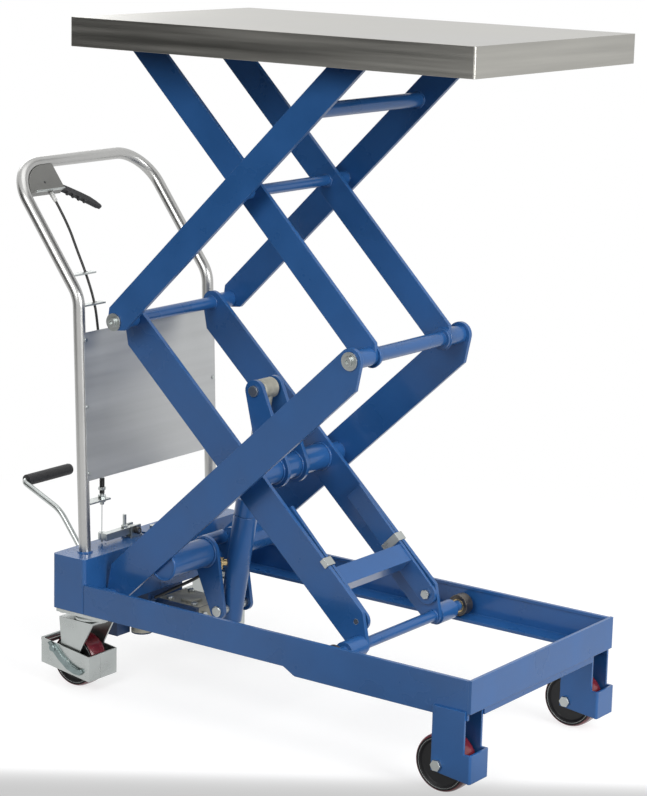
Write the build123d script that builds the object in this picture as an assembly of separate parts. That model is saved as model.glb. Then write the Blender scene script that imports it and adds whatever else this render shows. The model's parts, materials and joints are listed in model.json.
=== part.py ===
from build123d import *

import os
from math import atan2, cos, hypot, pi, radians, sin, sqrt, tan

# Foot-operated double scissor lift table on a wheeled base.
# +X runs from the push handle to the toe, +Y to the far side, +Z up; the floor is Z = 0.
# Pieces are drawn with X = 0 at the rear scissor pivots. export() then moves everything
# along X, so that the origin lies on the floor under the middle of the overall length.
# All sizes are in millimetres and degrees.

# ---- Driving dimensions ----
RUN = 0.05                 # radial clearance of a running fit
SEAT = 0.05                # radial clearance of a welded or bolted seat
GAP = 0.3                  # clearance between faces that move past each other

# Scissor arms
ARM_LENGTH = 724.0         # pin to pin
REST_ANGLE = 44.5          # arms above level, as modelled
LOWERED_ANGLE = 7.5        # arms above level on the lower stop
ARM_T = 8.0
LOWER_ARM_W = 64.0
LOWER_ARM_OFFSET = 12.0    # centreline of a lower arm above its base pin, and below its mid pin
UPPER_ARM_W = 52.0
INNER_ARM_INSET = 121.0    # inner face of the inner arms, in from the base's side
OUTER_ARM_INSET = 68.0     # inner face of the outer arms, in from the base's side
LOWER_END_R = 15.0
UPPER_END_R = 15.0
LOWER_CHAMFER = 27.0       # cut corner of a lower arm at its mid pin
STUB_R = 9.5               # mid-front shaft end
MID_REAR_R = 9.0           # mid-rear shaft end
TOP_PIN_R = 9.0
CROSS_TUBE_R = 13.0
OPEN_PIVOT_GAP = 0.3       # radial clearance of the pivot that closes the scissor loop
CENTRE_PIN_R = 12.0
UPPER_CENTRE_PIN_R = 7.0
COLLAR_R = 16.0
WASHER_R = 16.0
WASHER_T = 3.0
BOLT_HEAD_R = 8.5
BOLT_HEAD_T = 6.0

# Base frame
RAIL_BOTTOM = 150.0
RAIL_HEIGHT = 55.0
RAIL_T = 5.4
RAIL_LIP = 7.0
RAIL_FLANGE = 45.0         # width of the bottom flange
BASE_HALF_W = 230.0
RAIL_END_X = 810.6
FRONT_PLATE_T = 6.0
FRONT_PLATE_RISE = 1.0     # front plate past the rails, above and below
BEAM_CLEARANCE = 1.0       # arm end to the beam's front wall
BEAM_DEPTH = 76.0
BEAM_TOP = 252.0
BEAM_T = 4.0
BEAM_CORNER_R = 6.0
SKIRT_START_X = 436.0
SKIRT_SLOPE = 24.0         # length of the skirt's sloped start
SKIRT_DEPTH = 13.0
BASE_PIN_R = 10.0
ROLLER_R = 20.0
ROLLER_W = 21.5
ROLLER_PIN_R = 8.0
ROLLER_INSET = 18.5        # outer face of a lower roller, in from the base's side

# Wheels
WHEEL_R = 50.8
WHEEL_W = 38.0
HUB_R = 46.5
AXLE_R = 6.0
FRONT_AXLE_X = 757.8
FRONT_WHEEL_INSET = 23.75
BRACKET_T = 4.5
BRACKET_HALF_W = 28.25     # outer faces of the wheel bracket from the wheel's middle
BRACKET_BACK = 12.0        # bracket plate behind the axle
BRACKET_FRONT = 50.2
TOE_REACH = 64.2           # toe plate's outer face in front of the axle
TOE_TOP = 80.0
TOE_BOTTOM = 31.0
BRACKET_BACK_BOTTOM = 40.0

# Casters
SWIVEL_X = -28.0
SWIVEL_INSET = 38.0
CASTER_TRAIL = 30.0
CASTER_PLATE_L = 110.0
CASTER_PLATE_W = 76.0
CASTER_PLATE_T = 6.0
KINGPIN_R = 6.0
FORK_HALF_W = 33.0
FORK_T = 4.0
FORK_HEAD_R = 30.0
FORK_HEAD_TOP_GAP = 0.3
FORK_HEAD_DEPTH = 14.0
GUARD_HALF_W = 38.5
GUARD_T = 2.0
GUARD_HEIGHT = 47.0
GUARD_TILT = 7.6
GUARD_REAR = 61.0          # guard behind the caster's axle

# Handle
HANDLE_R = 11.0
HANDLE_WALL = 2.0
HANDLE_Y = 184.0
HANDLE_FOOT_X = -54.7
KNEE_X, KNEE_Z = -72.0, 722.0
GRIP_X, GRIP_Z = -240.0, 942.0
KNEE_BEND_R = 60.0
GRIP_BEND_R = 75.0
SOCKET_DEPTH = 38.0
SOCKET_WALL = 3.5
SOCKET_RISE = 2.0
PANEL_T = 1.5
PANEL_HALF_W = 187.0
PANEL_BOTTOM = 385.0
PANEL_TOP = 658.0
RIVET_R = 1.6
RIVET_HEAD_R = 4.0

# Hand lever in the handle's near corner, its cable, and the release lever it pulls
BRACKET_EDGE = 100.0       # from the handle's leg axis to the bracket's inner edge
BRACKET_DEPTH = 64.0       # from the top bar's axis to the folded lower edge
BRACKET_SHEET = 2.0
BRACKET_OPEN = 12.0        # clear height between its two sheets
LEVER_PIVOT_U, LEVER_PIVOT_V = 64.7, 41.9
LEVER_PIN_R = 4.0
LEVER_T = 9.0
FERRULE_U = 68.7
FERRULE_R = 3.4
FERRULE_LENGTH = 18.0
WIRE_R = 0.8
WIRE_HOLE_R = 2.2
WIRE_BOTTOM = 258.0
SHEATH_R = 2.4
CLIPS = ((-104.0, 755.0), (-81.0, 702.0))
CLIP_W, CLIP_T = 14.0, 3.0
CLIP_END_Y = -108.0
ADJUSTER_X, ADJUSTER_Y = -70.0, -120.0
ADJUSTER_TAB_Z = 336.0
ADJUSTER_BOTTOM, ADJUSTER_TOP = 326.0, 378.0
RELEASE_X = -60.0
RELEASE_END_Y = -120.0
RELEASE_PIVOT_Y, RELEASE_PIVOT_Z = -48.0, 266.0
RELEASE_W = 14.0
RELEASE_H = 13.0
CABLE_PATH = [
    (-131, -123, 794), (-107.5, -125, 754.5), (-85, -125.5, 703), (-77, -125, 652),
    (-72, -124, 600), (-70, -122.5, 545), (-69.5, -121, 490), (ADJUSTER_X, ADJUSTER_Y, 434),
    (ADJUSTER_X, ADJUSTER_Y, ADJUSTER_TOP),
]

# Cylinder and its carriers
CYL_FOOT_X, CYL_FOOT_Z = 144.0, 145.0
CYL_HEAD_X, CYL_HEAD_Z = 211.0, 566.0
BARREL_R = 22.0
BARREL_WALL = 5.0
BARREL_FLOOR = 25.0
BARREL_SEAM = 182.0
BARREL_LENGTH = 215.0
ROD_R = 12.5
PISTON_T = 7.0
EYE_HALF_W = 20.0
EYE_R = 19.0
CYL_PIN_R = 10.0
LUG_IN_Y = 24.0
LUG_T = 8.0
LUG_HUB_R = 33.0
LUG_TOP_R = 20.0
LIFT_TUBE_R = 24.0
LIFT_TUBE_WALL = 5.0
BRACE_X, BRACE_Z = 112.0, 252.0      # lower torque tube, centre
BRACE_R = 26.0
BRACE_WALL = 4.0
TIE_X, TIE_Z = 92.0, 262.0           # thin tie tube between the cylinder brackets
TIE_R = 13.0
CYL_BRACKET_Y = 36.0
CYL_BRACKET_T = 8.0
CYL_BRACKET_HUB_R = 30.0
CYL_BRACKET_FOOT_R = 16.0

# Safety prop, measured along and across the inner lower arm from its roller pin
PROP_INSET = 9.0           # inner face of a bar, in from the inner arm
PROP_T = 6.0
PROP_W = 38.0
PROP_PIVOT_S = 36.0
PROP_END_S = 268.0
PROP_N = 22.0
PROP_BEAM_S = 100.0
PROP_BEAM_W = 36.0
PROP_WALL = 3.0
PROP_CLIP_S = 141.0
PROP_CLIP_W = 16.0
PROP_CLIP_RISE = 0.8       # clip above the bar and clear of the arm's edge
PROP_BOLT_R = 5.0

# Pump and pedal
PUMP_HALF_W = 50.0
PUMP_BOTTOM = 90.0
RESERVOIR_R = 20.0
RESERVOIR_BOTTOM = 60.0
PEDAL_X, PEDAL_Z = -60.0, 105.0
PEDAL_Y = -65.0
PEDAL_R = 5.5
PEDAL_HUB_R = 13.0
PEDAL_PIN_R = 7.0
PEDAL_GRIP_X, PEDAL_GRIP_Z = -318.75, 318.0
PEDAL_GRIP_R = 9.25
PEDAL_GRIP_LENGTH = 130.0
PEDAL_GRIP_START = 14.0
PLUNGER_R = 6.0
PLUNGER_X = -86.0
HOSE_R = 3.0
HOSE_PATH = [
    (127, -23, 229), (104, -26, 209.5), (79, -28, 191.5), (52, -32, 174),
    (27, -36, 159.5), (7, -39, 148.5), (-7, -40, 141),
]

# Platform
DECK_REAR, DECK_FRONT = -34.0, 791.5
DECK_HALF_W = 250.0
DECK_RISE = 32.3           # deck top above the top pins
DECK_T = 3.0
DECK_SKIRT = 50.0
UPPER_ROLLER_R = 13.5
UPPER_ROLLER_GAP = 6.0     # outer arm to its roller
UPPER_ROLLER_W = 20.0
TRACK_T = 3.5

# ---- Worked out from the driving dimensions ----
SPAN = ARM_LENGTH * cos(radians(REST_ANGLE))
RISE = ARM_LENGTH * sin(radians(REST_ANGLE))
BASE_PIN_Z = RAIL_BOTTOM + RAIL_T + ROLLER_R + GAP
MID_Z = BASE_PIN_Z + RISE
TOP_Z = MID_Z + RISE
LOWER_CENTRE = (SPAN / 2, BASE_PIN_Z + RISE / 2)
UPPER_CENTRE = (SPAN / 2, MID_Z + RISE / 2)
DECK_TOP = TOP_Z + DECK_RISE
BEAM_FRONT = -LOWER_END_R - BEAM_CLEARANCE
BEAM_REAR = BEAM_FRONT - BEAM_DEPTH
RAIL_TOP = RAIL_BOTTOM + RAIL_HEIGHT
INNER_ARM_Y = BASE_HALF_W - INNER_ARM_INSET
OUTER_ARM_Y = BASE_HALF_W - OUTER_ARM_INSET
INNER_FACE = INNER_ARM_Y + ARM_T
OUTER_FACE = OUTER_ARM_Y + ARM_T
ROLLER_OUT_Y = BASE_HALF_W - ROLLER_INSET
UPPER_ROLLER_Y = OUTER_FACE + UPPER_ROLLER_GAP
FRONT_WHEEL_Y = BASE_HALF_W - FRONT_WHEEL_INSET
SWIVEL_Y = BASE_HALF_W - SWIVEL_INSET
PROP_Y = INNER_ARM_Y - PROP_INSET
TOE_X = FRONT_AXLE_X + TOE_REACH
CASTER_X = SWIVEL_X - CASTER_TRAIL
FORK_TOP = RAIL_BOTTOM - CASTER_PLATE_T - FORK_HEAD_TOP_GAP
FORK_FLOOR = FORK_TOP - FORK_HEAD_DEPTH
FRAME_SHIFT = -(PEDAL_GRIP_X - PEDAL_GRIP_R + TOE_X) / 2
UPRIGHT_DIR = Vector(KNEE_X - HANDLE_FOOT_X, 0, KNEE_Z - BEAM_TOP).normalized()
UPRIGHT_PLANE = Plane(
    origin=(HANDLE_FOOT_X, 0, BEAM_TOP),
    x_dir=(0, 1, 0),
    z_dir=(UPRIGHT_DIR.Z, 0, -UPRIGHT_DIR.X),
)
LEG_DIR = Vector(KNEE_X - GRIP_X, 0, KNEE_Z - GRIP_Z).normalized()
# Plane of the near upper corner: local x is +Y from the leg, local y runs down the leg,
# and local z points down and back, away from the open face of the lever bracket.
CORNER_PLANE = Plane(
    origin=(GRIP_X, -HANDLE_Y, GRIP_Z),
    x_dir=(0, 1, 0),
    z_dir=(LEG_DIR.Z, 0, -LEG_DIR.X),
)
CYL_LENGTH = hypot(CYL_HEAD_X - CYL_FOOT_X, CYL_HEAD_Z - CYL_FOOT_Z)
CYL_PLANE = Plane(
    origin=(CYL_FOOT_X, 0, CYL_FOOT_Z),
    x_dir=(0, 1, 0),
    z_dir=(CYL_HEAD_X - CYL_FOOT_X, 0, CYL_HEAD_Z - CYL_FOOT_Z),
)

nodes = {}


# ---- Shapes used by several pieces ----
def box(x0, x1, y0, y1, z0, z1):
    return Pos((x0 + x1) / 2, (y0 + y1) / 2, (z0 + z1) / 2) * Box(x1 - x0, y1 - y0, z1 - z0)


def slab(sketch, y0, y1):
    """A sketch whose axes are X and Z, thick from y0 to y1."""
    return extrude(Pos(0, y1, 0) * (Plane.XZ * sketch), amount=y1 - y0)


def disc(x, z, r, y0, y1):
    return slab(Pos(x, z) * Circle(r), y0, y1)


def tube(x, z, r, wall, y0, y1):
    return slab(Pos(x, z) * (Circle(r) - Circle(r - wall)), y0, y1)


def ring(x, z, r, bore, y0, y1):
    return slab(Pos(x, z) * (Circle(r) - Circle(bore)), y0, y1)


def post(x, y, z0, z1, r):
    return Pos(x, y, (z0 + z1) / 2) * Cylinder(r, z1 - z0)


def hull(*outlines):
    """Convex sketch round circles given as (x, z, r) and corners given as (x, z)."""
    edges = []
    for shape in outlines:
        if len(shape) == 3:
            edges += (Pos(shape[0], shape[1]) * Circle(shape[2])).edges()
        else:
            edges += (Pos(*shape) * Circle(0.5)).edges()
    return make_hull(edges)


def hexagon(x, z, across_corners_r, y0, y1):
    return slab(Pos(x, z) * RegularPolygon(across_corners_r, 6), y0, y1)


def both(shape):
    """The near piece and its mirror image on the far side, or the reverse."""
    return [shape, mirror(shape, Plane.XZ)]


def flip(shape):
    """Swap front and rear about the middle of the scissor."""
    return mirror(shape, Plane.YZ.offset(SPAN / 2))


def along_arm(sketch, base_z):
    """A sketch drawn along an arm from its pin at X = 0, at the rest angle."""
    return Pos(0, base_z) * (Rot(0, 0, REST_ANGLE) * sketch)


def add(name, *pieces):
    flat = []
    for piece in pieces:
        flat += piece if isinstance(piece, list) else [piece]
    solids = []
    for piece in flat:
        solids += piece.solids()
    nodes[name] = solids


def bolt_end(x, z, face_y):
    """Washer and socket head on the end of a pivot shaft, outside an outer arm."""
    washer = disc(x, z, WASHER_R, face_y, face_y + WASHER_T)
    head = disc(x, z, BOLT_HEAD_R, face_y + WASHER_T, face_y + WASHER_T + BOLT_HEAD_T)
    socket = hexagon(x, z, BOLT_HEAD_R * 0.5, face_y + WASHER_T + 2, face_y + WASHER_T + BOLT_HEAD_T)
    return washer + (head - socket)


# ---- Arm outlines, along the arm from one pin to the other ----
def lower_arm_outline():
    half = LOWER_ARM_W / 2
    up = LOWER_ARM_OFFSET
    return hull(
        (0, 0, LOWER_END_R),
        (40, up + half),
        (8, up - half),
        (ARM_LENGTH, 0, 22),
        (ARM_LENGTH - LOWER_CHAMFER, -up - half),
    )


def upper_arm_outline():
    half = UPPER_ARM_W / 2
    return hull(
        (0, 0, UPPER_END_R),
        (9, half - 0.5),
        (9, 0.5 - half),
        (ARM_LENGTH, 0, UPPER_END_R),
        (ARM_LENGTH - 9, half - 0.5),
        (ARM_LENGTH - 9, 0.5 - half),
    )


def bored(outline, *bores):
    for s, r in bores:
        outline -= Pos(s, 0) * Circle(r)
    return outline


# ---- Base frame ----
def rear_beam():
    shell = box(BEAM_REAR, BEAM_FRONT, -BASE_HALF_W, BASE_HALF_W, RAIL_BOTTOM, BEAM_TOP)
    shell = fillet(shell.edges().filter_by(Axis.Z), BEAM_CORNER_R)
    inside = box(
        BEAM_REAR + BEAM_T, BEAM_FRONT - BEAM_T,
        BEAM_T - BASE_HALF_W, BASE_HALF_W - BEAM_T,
        RAIL_BOTTOM - 1, BEAM_TOP - BEAM_T,
    )
    beam = shell - inside
    for side in (-1, 1):
        foot = Plane(
            origin=(HANDLE_FOOT_X, side * HANDLE_Y, BEAM_TOP), x_dir=(0, 1, 0), z_dir=UPRIGHT_DIR
        )
        bore = HANDLE_R + SEAT
        cup = foot * (Pos(0, 0, -SOCKET_DEPTH - BEAM_T) * Circle(bore + SOCKET_WALL))
        cup = extrude(cup, SOCKET_DEPTH + BEAM_T + SOCKET_RISE)
        hollow = extrude(foot * (Pos(0, 0, -SOCKET_DEPTH) * Circle(bore)), SOCKET_DEPTH + 50)
        beam = (beam + cup) - hollow
    slot = SlotCenterToCenter(16, 11)
    beam -= extrude(Pos(HANDLE_FOOT_X, -15, BEAM_TOP - BEAM_T - 1) * slot, BEAM_T + 2)
    stud_hole = post(RELEASE_X, RELEASE_END_Y, BEAM_TOP - BEAM_T - 1, BEAM_TOP + 1, WIRE_HOLE_R)
    return beam - stud_hole


def side_rails():
    web_in = BASE_HALF_W - RAIL_T
    rail = box(BEAM_FRONT, RAIL_END_X, web_in, BASE_HALF_W, RAIL_BOTTOM, RAIL_TOP)
    rail += box(BEAM_FRONT, RAIL_END_X, BASE_HALF_W - RAIL_LIP, BASE_HALF_W, RAIL_TOP - RAIL_T, RAIL_TOP)
    rail += box(
        BEAM_FRONT, RAIL_END_X, BASE_HALF_W - RAIL_FLANGE, BASE_HALF_W, RAIL_BOTTOM, RAIL_BOTTOM + RAIL_T
    )
    skirt = Polygon(
        (SKIRT_START_X, RAIL_BOTTOM),
        (SKIRT_START_X + SKIRT_SLOPE, RAIL_BOTTOM - SKIRT_DEPTH),
        (RAIL_END_X, RAIL_BOTTOM - SKIRT_DEPTH),
        (RAIL_END_X, RAIL_BOTTOM),
        align=None,
    )
    rail += slab(skirt, web_in, BASE_HALF_W)
    return both(rail)


def front_plate():
    plate = box(
        RAIL_END_X, RAIL_END_X + FRONT_PLATE_T, -BASE_HALF_W, BASE_HALF_W,
        RAIL_BOTTOM - FRONT_PLATE_RISE, RAIL_TOP + FRONT_PLATE_RISE,
    )
    strip_half = FRONT_WHEEL_Y - BRACKET_HALF_W
    strip = box(
        RAIL_END_X - RAIL_T, RAIL_END_X, -strip_half, strip_half,
        RAIL_BOTTOM - SKIRT_DEPTH - 2, RAIL_TOP - RAIL_T,
    )
    return plate + strip


def front_brackets():
    back = FRONT_AXLE_X - BRACKET_BACK
    front = FRONT_AXLE_X + BRACKET_FRONT
    outer = FRONT_WHEEL_Y + BRACKET_HALF_W
    inner = FRONT_WHEEL_Y - BRACKET_HALF_W
    side = Polygon(
        (back, RAIL_BOTTOM), (back, BRACKET_BACK_BOTTOM), (TOE_X, TOE_BOTTOM), (TOE_X, TOE_TOP),
        (front, TOE_TOP), (front, RAIL_BOTTOM), align=None,
    )
    side -= Pos(FRONT_AXLE_X, WHEEL_R) * Circle(AXLE_R + SEAT)
    cheek_out = slab(side, outer - BRACKET_T, outer)
    cheek_in = slab(side, inner, inner + BRACKET_T)
    lap = box(back, front, BASE_HALF_W, outer, RAIL_BOTTOM - 1, RAIL_BOTTOM + 2)
    toe = box(TOE_X - BRACKET_T, TOE_X, inner, outer, TOE_BOTTOM, TOE_TOP)
    top = box(
        back - 4, front, inner, BASE_HALF_W - RAIL_T,
        RAIL_BOTTOM - CASTER_PLATE_T, RAIL_BOTTOM,
    )
    body = cheek_out + cheek_in + toe + lap + top
    corners = body.edges().filter_by(Axis.Z).filter_by_position(Axis.X, TOE_X - 0.1, TOE_X + 0.1)
    body = fillet(corners, BRACKET_T * 0.9)
    skirt_slot = box(
        back - 5, RAIL_END_X, BASE_HALF_W - RAIL_T, BASE_HALF_W,
        RAIL_BOTTOM - SKIRT_DEPTH, RAIL_BOTTOM,
    )
    return both(body - skirt_slot)


def front_axle_bolts():
    inner = FRONT_WHEEL_Y - BRACKET_HALF_W
    outer = FRONT_WHEEL_Y + BRACKET_HALF_W
    shank = disc(FRONT_AXLE_X, WHEEL_R, AXLE_R, inner - 5, outer + 5)
    heads = hexagon(FRONT_AXLE_X, WHEEL_R, 10, outer, outer + 6)
    heads += hexagon(FRONT_AXLE_X, WHEEL_R, 10, inner - 6, inner)
    return both(shank + heads)


def wheel_hub(x, y):
    """Hub with a thicker boss and a dished web, running on its axle."""
    half = WHEEL_W / 2
    profile = Circle(HUB_R) - Circle(AXLE_R + RUN)
    hub = slab(Pos(x, WHEEL_R) * profile, y - half, y + half)
    dish = Circle(HUB_R - 5) - Circle(17)
    for y0, y1 in ((y - half, y - half + 6), (y + half - 6, y + half)):
        hub -= slab(Pos(x, WHEEL_R) * dish, y0, y1)
    return hub


def wheel_tread(x, y):
    half = WHEEL_W / 2
    tread = ring(x, WHEEL_R, WHEEL_R, HUB_R, y - half, y + half)
    return chamfer(tread.edges().filter_by(GeomType.CIRCLE).group_by(SortBy.RADIUS)[-1], 2.5)


def base_pivots():
    ear_in = BASE_HALF_W - RAIL_FLANGE
    seat_z = RAIL_BOTTOM + RAIL_T
    plate = hull((0, BASE_PIN_Z, BASE_PIN_R + 8), (BEAM_FRONT, seat_z), (BASE_PIN_R + 24, seat_z))
    ear = slab(plate, ear_in, ear_in + 8)
    ear = ear & box(BEAM_FRONT, BASE_PIN_R + 30, ear_in, ear_in + 8, seat_z, RAIL_TOP)
    pin = disc(0, BASE_PIN_Z, BASE_PIN_R, OUTER_ARM_Y - GAP, BASE_HALF_W - RAIL_T)
    cap = disc(0, BASE_PIN_Z, BASE_PIN_R + 4, OUTER_ARM_Y - GAP - 4, OUTER_ARM_Y - GAP)
    collar = disc(0, BASE_PIN_Z, BASE_PIN_R + 4, OUTER_FACE + GAP, ear_in)
    return both(ear + pin + cap + collar)


# ---- Casters ----
def caster_top_plates():
    plate_top = RAIL_BOTTOM
    plate_low = plate_top - CASTER_PLATE_T
    half = CASTER_PLATE_W / 2
    plate = box(
        SWIVEL_X - CASTER_PLATE_L / 2, SWIVEL_X + CASTER_PLATE_L / 2,
        SWIVEL_Y - half, SWIVEL_Y + half, plate_low, plate_top,
    )
    kingpin = post(SWIVEL_X, SWIVEL_Y, FORK_FLOOR - 6, plate_low, KINGPIN_R)
    kingpin += post(SWIVEL_X, SWIVEL_Y, FORK_FLOOR - 6, FORK_FLOOR - GAP, KINGPIN_R + 5)
    body = plate + kingpin
    for dx in (-1, 1):
        for dy in (-1, 1):
            x = SWIVEL_X + dx * (CASTER_PLATE_L / 2 - 11)
            y = SWIVEL_Y + dy * (half - 8)
            body += Pos(x, y, plate_low - 2) * extrude(RegularPolygon(6.5, 6), 2)
    return both(body)


def caster_fork():
    """Fork with its axle bolt, round the wheel's own middle plane at Y = 0."""
    head = post(SWIVEL_X, 0, FORK_FLOOR, FORK_TOP, FORK_HEAD_R)
    bridge = box(SWIVEL_X - 52, SWIVEL_X + 26, -FORK_HALF_W, FORK_HALF_W, FORK_FLOOR, FORK_FLOOR + FORK_T)
    leg = hull((SWIVEL_X - 51.5, FORK_FLOOR), (SWIVEL_X + 25.5, FORK_FLOOR), (CASTER_X, WHEEL_R, 14))
    leg += Pos(SWIVEL_X - 13, FORK_FLOOR + FORK_T / 2) * Rectangle(78, FORK_T)
    leg -= Pos(CASTER_X, WHEEL_R) * Circle(AXLE_R + SEAT)
    fork = head + bridge
    for y0 in (-FORK_HALF_W, FORK_HALF_W - FORK_T):
        fork += slab(leg, y0, y0 + FORK_T)
    fork -= post(SWIVEL_X, 0, FORK_FLOOR - 1, FORK_TOP + 1, KINGPIN_R + RUN)
    return fork


def caster_axle():
    reach = GUARD_HALF_W + 1.5
    bolt = disc(CASTER_X, WHEEL_R, AXLE_R, -reach, reach)
    for y0 in (FORK_HALF_W, -GUARD_HALF_W + GUARD_T + GAP):
        bolt += hexagon(CASTER_X, WHEEL_R, 10, y0, y0 + GUARD_HALF_W - GUARD_T - GAP - FORK_HALF_W)
    return bolt


def brake_guard():
    """Folded foot guard round the wheel, hung on the axle, open below and behind."""
    front = WHEEL_R + 4
    mid_z = 55.7 - WHEEL_R
    outline = Pos((front - GUARD_REAR) / 2, mid_z) * (
        Rot(0, 0, -GUARD_TILT) * Rectangle(front + GUARD_REAR + 20, GUARD_HEIGHT)
    )
    keep = Pos((front - GUARD_REAR) / 2, 0) * Rectangle(front + GUARD_REAR, 400)
    outline = outline & keep
    block = slab(outline, -GUARD_HALF_W, GUARD_HALF_W)
    cavity = box(-200, front - GUARD_T, GUARD_T - GUARD_HALF_W, GUARD_HALF_W - GUARD_T, -200, 200)
    guard = block - cavity
    guard -= disc(0, 0, AXLE_R + RUN, -GUARD_HALF_W - 1, GUARD_HALF_W + 1)
    guard -= box(front - GUARD_T / 2, front + 1, -6.5, -6, -200, 200)
    tab = disc(4 - GUARD_REAR, GUARD_HEIGHT / 2 + 10, 5, -GUARD_HALF_W, GUARD_HALF_W)
    tab += box(-GUARD_REAR, 2 - GUARD_REAR, -GUARD_HALF_W, GUARD_HALF_W, 21, GUARD_HEIGHT / 2 + 10)
    guard += tab
    return Pos(CASTER_X, 0, WHEEL_R) * guard


# ---- Pump, pedal and hose ----
def pump_body():
    inside_rear = BEAM_REAR + BEAM_T
    inside_front = BEAM_FRONT - BEAM_T
    deck = box(inside_rear, inside_front, -PUMP_HALF_W - 20, PUMP_HALF_W + 20, RAIL_BOTTOM, RAIL_BOTTOM + 8)
    block = box(inside_rear + 8, BEAM_FRONT + 1, -PUMP_HALF_W, PUMP_HALF_W, PUMP_BOTTOM, RAIL_BOTTOM)
    post_mid = (inside_rear + inside_front) / 2
    block += deck
    for y in (-22, 22):
        block += post(post_mid, y, RESERVOIR_BOTTOM, PUMP_BOTTOM, RESERVOIR_R)
    ear_out = PEDAL_Y - PEDAL_R - 1
    barrel = box(
        PLUNGER_X - 12, inside_rear + 20, PEDAL_Y - 12, -PUMP_HALF_W + 10, RESERVOIR_BOTTOM + 1, PUMP_BOTTOM - 2
    )
    block += barrel
    block += box(inside_rear + 8, inside_rear + 20, PEDAL_Y - 12, 10 - PUMP_HALF_W, 80, PUMP_BOTTOM + 4)
    block -= post(PLUNGER_X, PEDAL_Y, RESERVOIR_BOTTOM, PUMP_BOTTOM, PLUNGER_R + RUN)
    block -= disc(PEDAL_X, PEDAL_Z, PEDAL_HUB_R + 1, PEDAL_Y - 8, -PUMP_HALF_W)
    block += disc(PEDAL_X, PEDAL_Z, PEDAL_PIN_R, ear_out - 4, -PUMP_HALF_W)
    heading = Vector(*HOSE_PATH[-1]) - Vector(*HOSE_PATH[-2])
    nipple = extrude(Plane(origin=HOSE_PATH[-1], z_dir=heading) * Circle(5), 12)
    valve = box(BEAM_FRONT + 1, 84, -30, 60, 100, 135)
    valve += box(34, 62, -14, 14, 135, 141)
    return [block + nipple, valve]


def pedal_path():
    knee = [(PEDAL_X, PEDAL_Z), (-110, 135), (-223, 277), (PEDAL_GRIP_X, PEDAL_GRIP_Z)]
    points = [(x, PEDAL_Y, z) for x, z in knee]
    points.append((PEDAL_GRIP_X, PEDAL_Y + PEDAL_GRIP_LENGTH, PEDAL_GRIP_Z))
    return points


def sweep_round(points, radii, r, wall=0.0):
    path = FilletPolyline(*points, radius=radii)
    section = Circle(r) - Circle(r - wall) if wall else Circle(r)
    return sweep(Plane(origin=path @ 0, z_dir=path % 0) * section, path=path)


def pedal_lever():
    rod = sweep_round(pedal_path(), (50, 70, 12), PEDAL_R)
    hub = ring(PEDAL_X, PEDAL_Z, PEDAL_HUB_R, PEDAL_PIN_R + RUN, PEDAL_Y - 7, PEDAL_Y + 7)
    rod -= disc(PEDAL_X, PEDAL_Z, PEDAL_PIN_R + RUN, PEDAL_Y - 20, PEDAL_Y + 20)
    return rod + hub


def pedal_grip():
    y0 = PEDAL_Y + PEDAL_GRIP_START
    y1 = PEDAL_Y + PEDAL_GRIP_LENGTH + 3
    grip = disc(PEDAL_GRIP_X, PEDAL_GRIP_Z, PEDAL_GRIP_R, y0, y1)
    bore = disc(PEDAL_GRIP_X, PEDAL_GRIP_Z, PEDAL_R, y0 - 1, y1 - 3)
    return fillet((grip).edges().filter_by(GeomType.CIRCLE), 2.5) - bore


def plunger_top():
    """Centre height of the domed top, just under the pedal rod's first run."""
    slope = atan2(135 - PEDAL_Z, PEDAL_X + 110)
    rod_z = PEDAL_Z + (PEDAL_X - PLUNGER_X) * tan(slope)
    return rod_z - (PEDAL_R + PLUNGER_R + 0.5) / cos(slope)


def pump_plunger():
    top = plunger_top()
    stem = post(PLUNGER_X, PEDAL_Y, 76, top, PLUNGER_R)
    return stem + Pos(PLUNGER_X, PEDAL_Y, top) * Sphere(PLUNGER_R)


def arc_radii(points):
    """As large as the two runs at each inner point allow."""
    radii = []
    for before, at, after in zip(points, points[1:], points[2:]):
        first = Vector(*at) - Vector(*before)
        second = Vector(*after) - Vector(*at)
        turn = radians(first.get_angle(second))
        radii.append(0.45 * min(first.length, second.length) / tan(turn / 2))
    return tuple(radii)


def cord(name, points, r):
    radii = arc_radii(points)
    print(name, "arc radii", [round(value) for value in radii])
    path = FilletPolyline(*points, radius=radii)
    body = sweep(Plane(origin=path @ 0, z_dir=path % 0) * Circle(r), path=path)
    print(name, "length", round(path.length, 1), "volume over section x length",
          round(body.volume / (pi * r * r * path.length), 4))
    return body


# ---- Handle ----
def handle_tube():
    foot = Vector(HANDLE_FOOT_X, 0, BEAM_TOP) - UPRIGHT_DIR * SOCKET_DEPTH
    side = [(foot.X, foot.Z), (KNEE_X, KNEE_Z), (GRIP_X, GRIP_Z)]
    points = [(x, -HANDLE_Y, z) for x, z in side] + [(x, HANDLE_Y, z) for x, z in reversed(side)]
    radii = (KNEE_BEND_R, GRIP_BEND_R, GRIP_BEND_R, KNEE_BEND_R)
    body = sweep_round(points, radii, HANDLE_R, HANDLE_WALL)
    for y, w in rivet_places():
        body -= UPRIGHT_PLANE * Pos(y, w, HANDLE_R - 1.5) * Cylinder(RIVET_R + SEAT, 5)
    return body


def panel_span():
    lean = UPRIGHT_DIR.Z
    return (PANEL_BOTTOM - BEAM_TOP) / lean, (PANEL_TOP - BEAM_TOP) / lean


def rivet_places():
    low, high = panel_span()
    rows = (low + 14, (low + high) / 2, high - 14)
    return [(side * (HANDLE_Y - 3), w) for side in (-1, 1) for w in rows]


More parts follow.
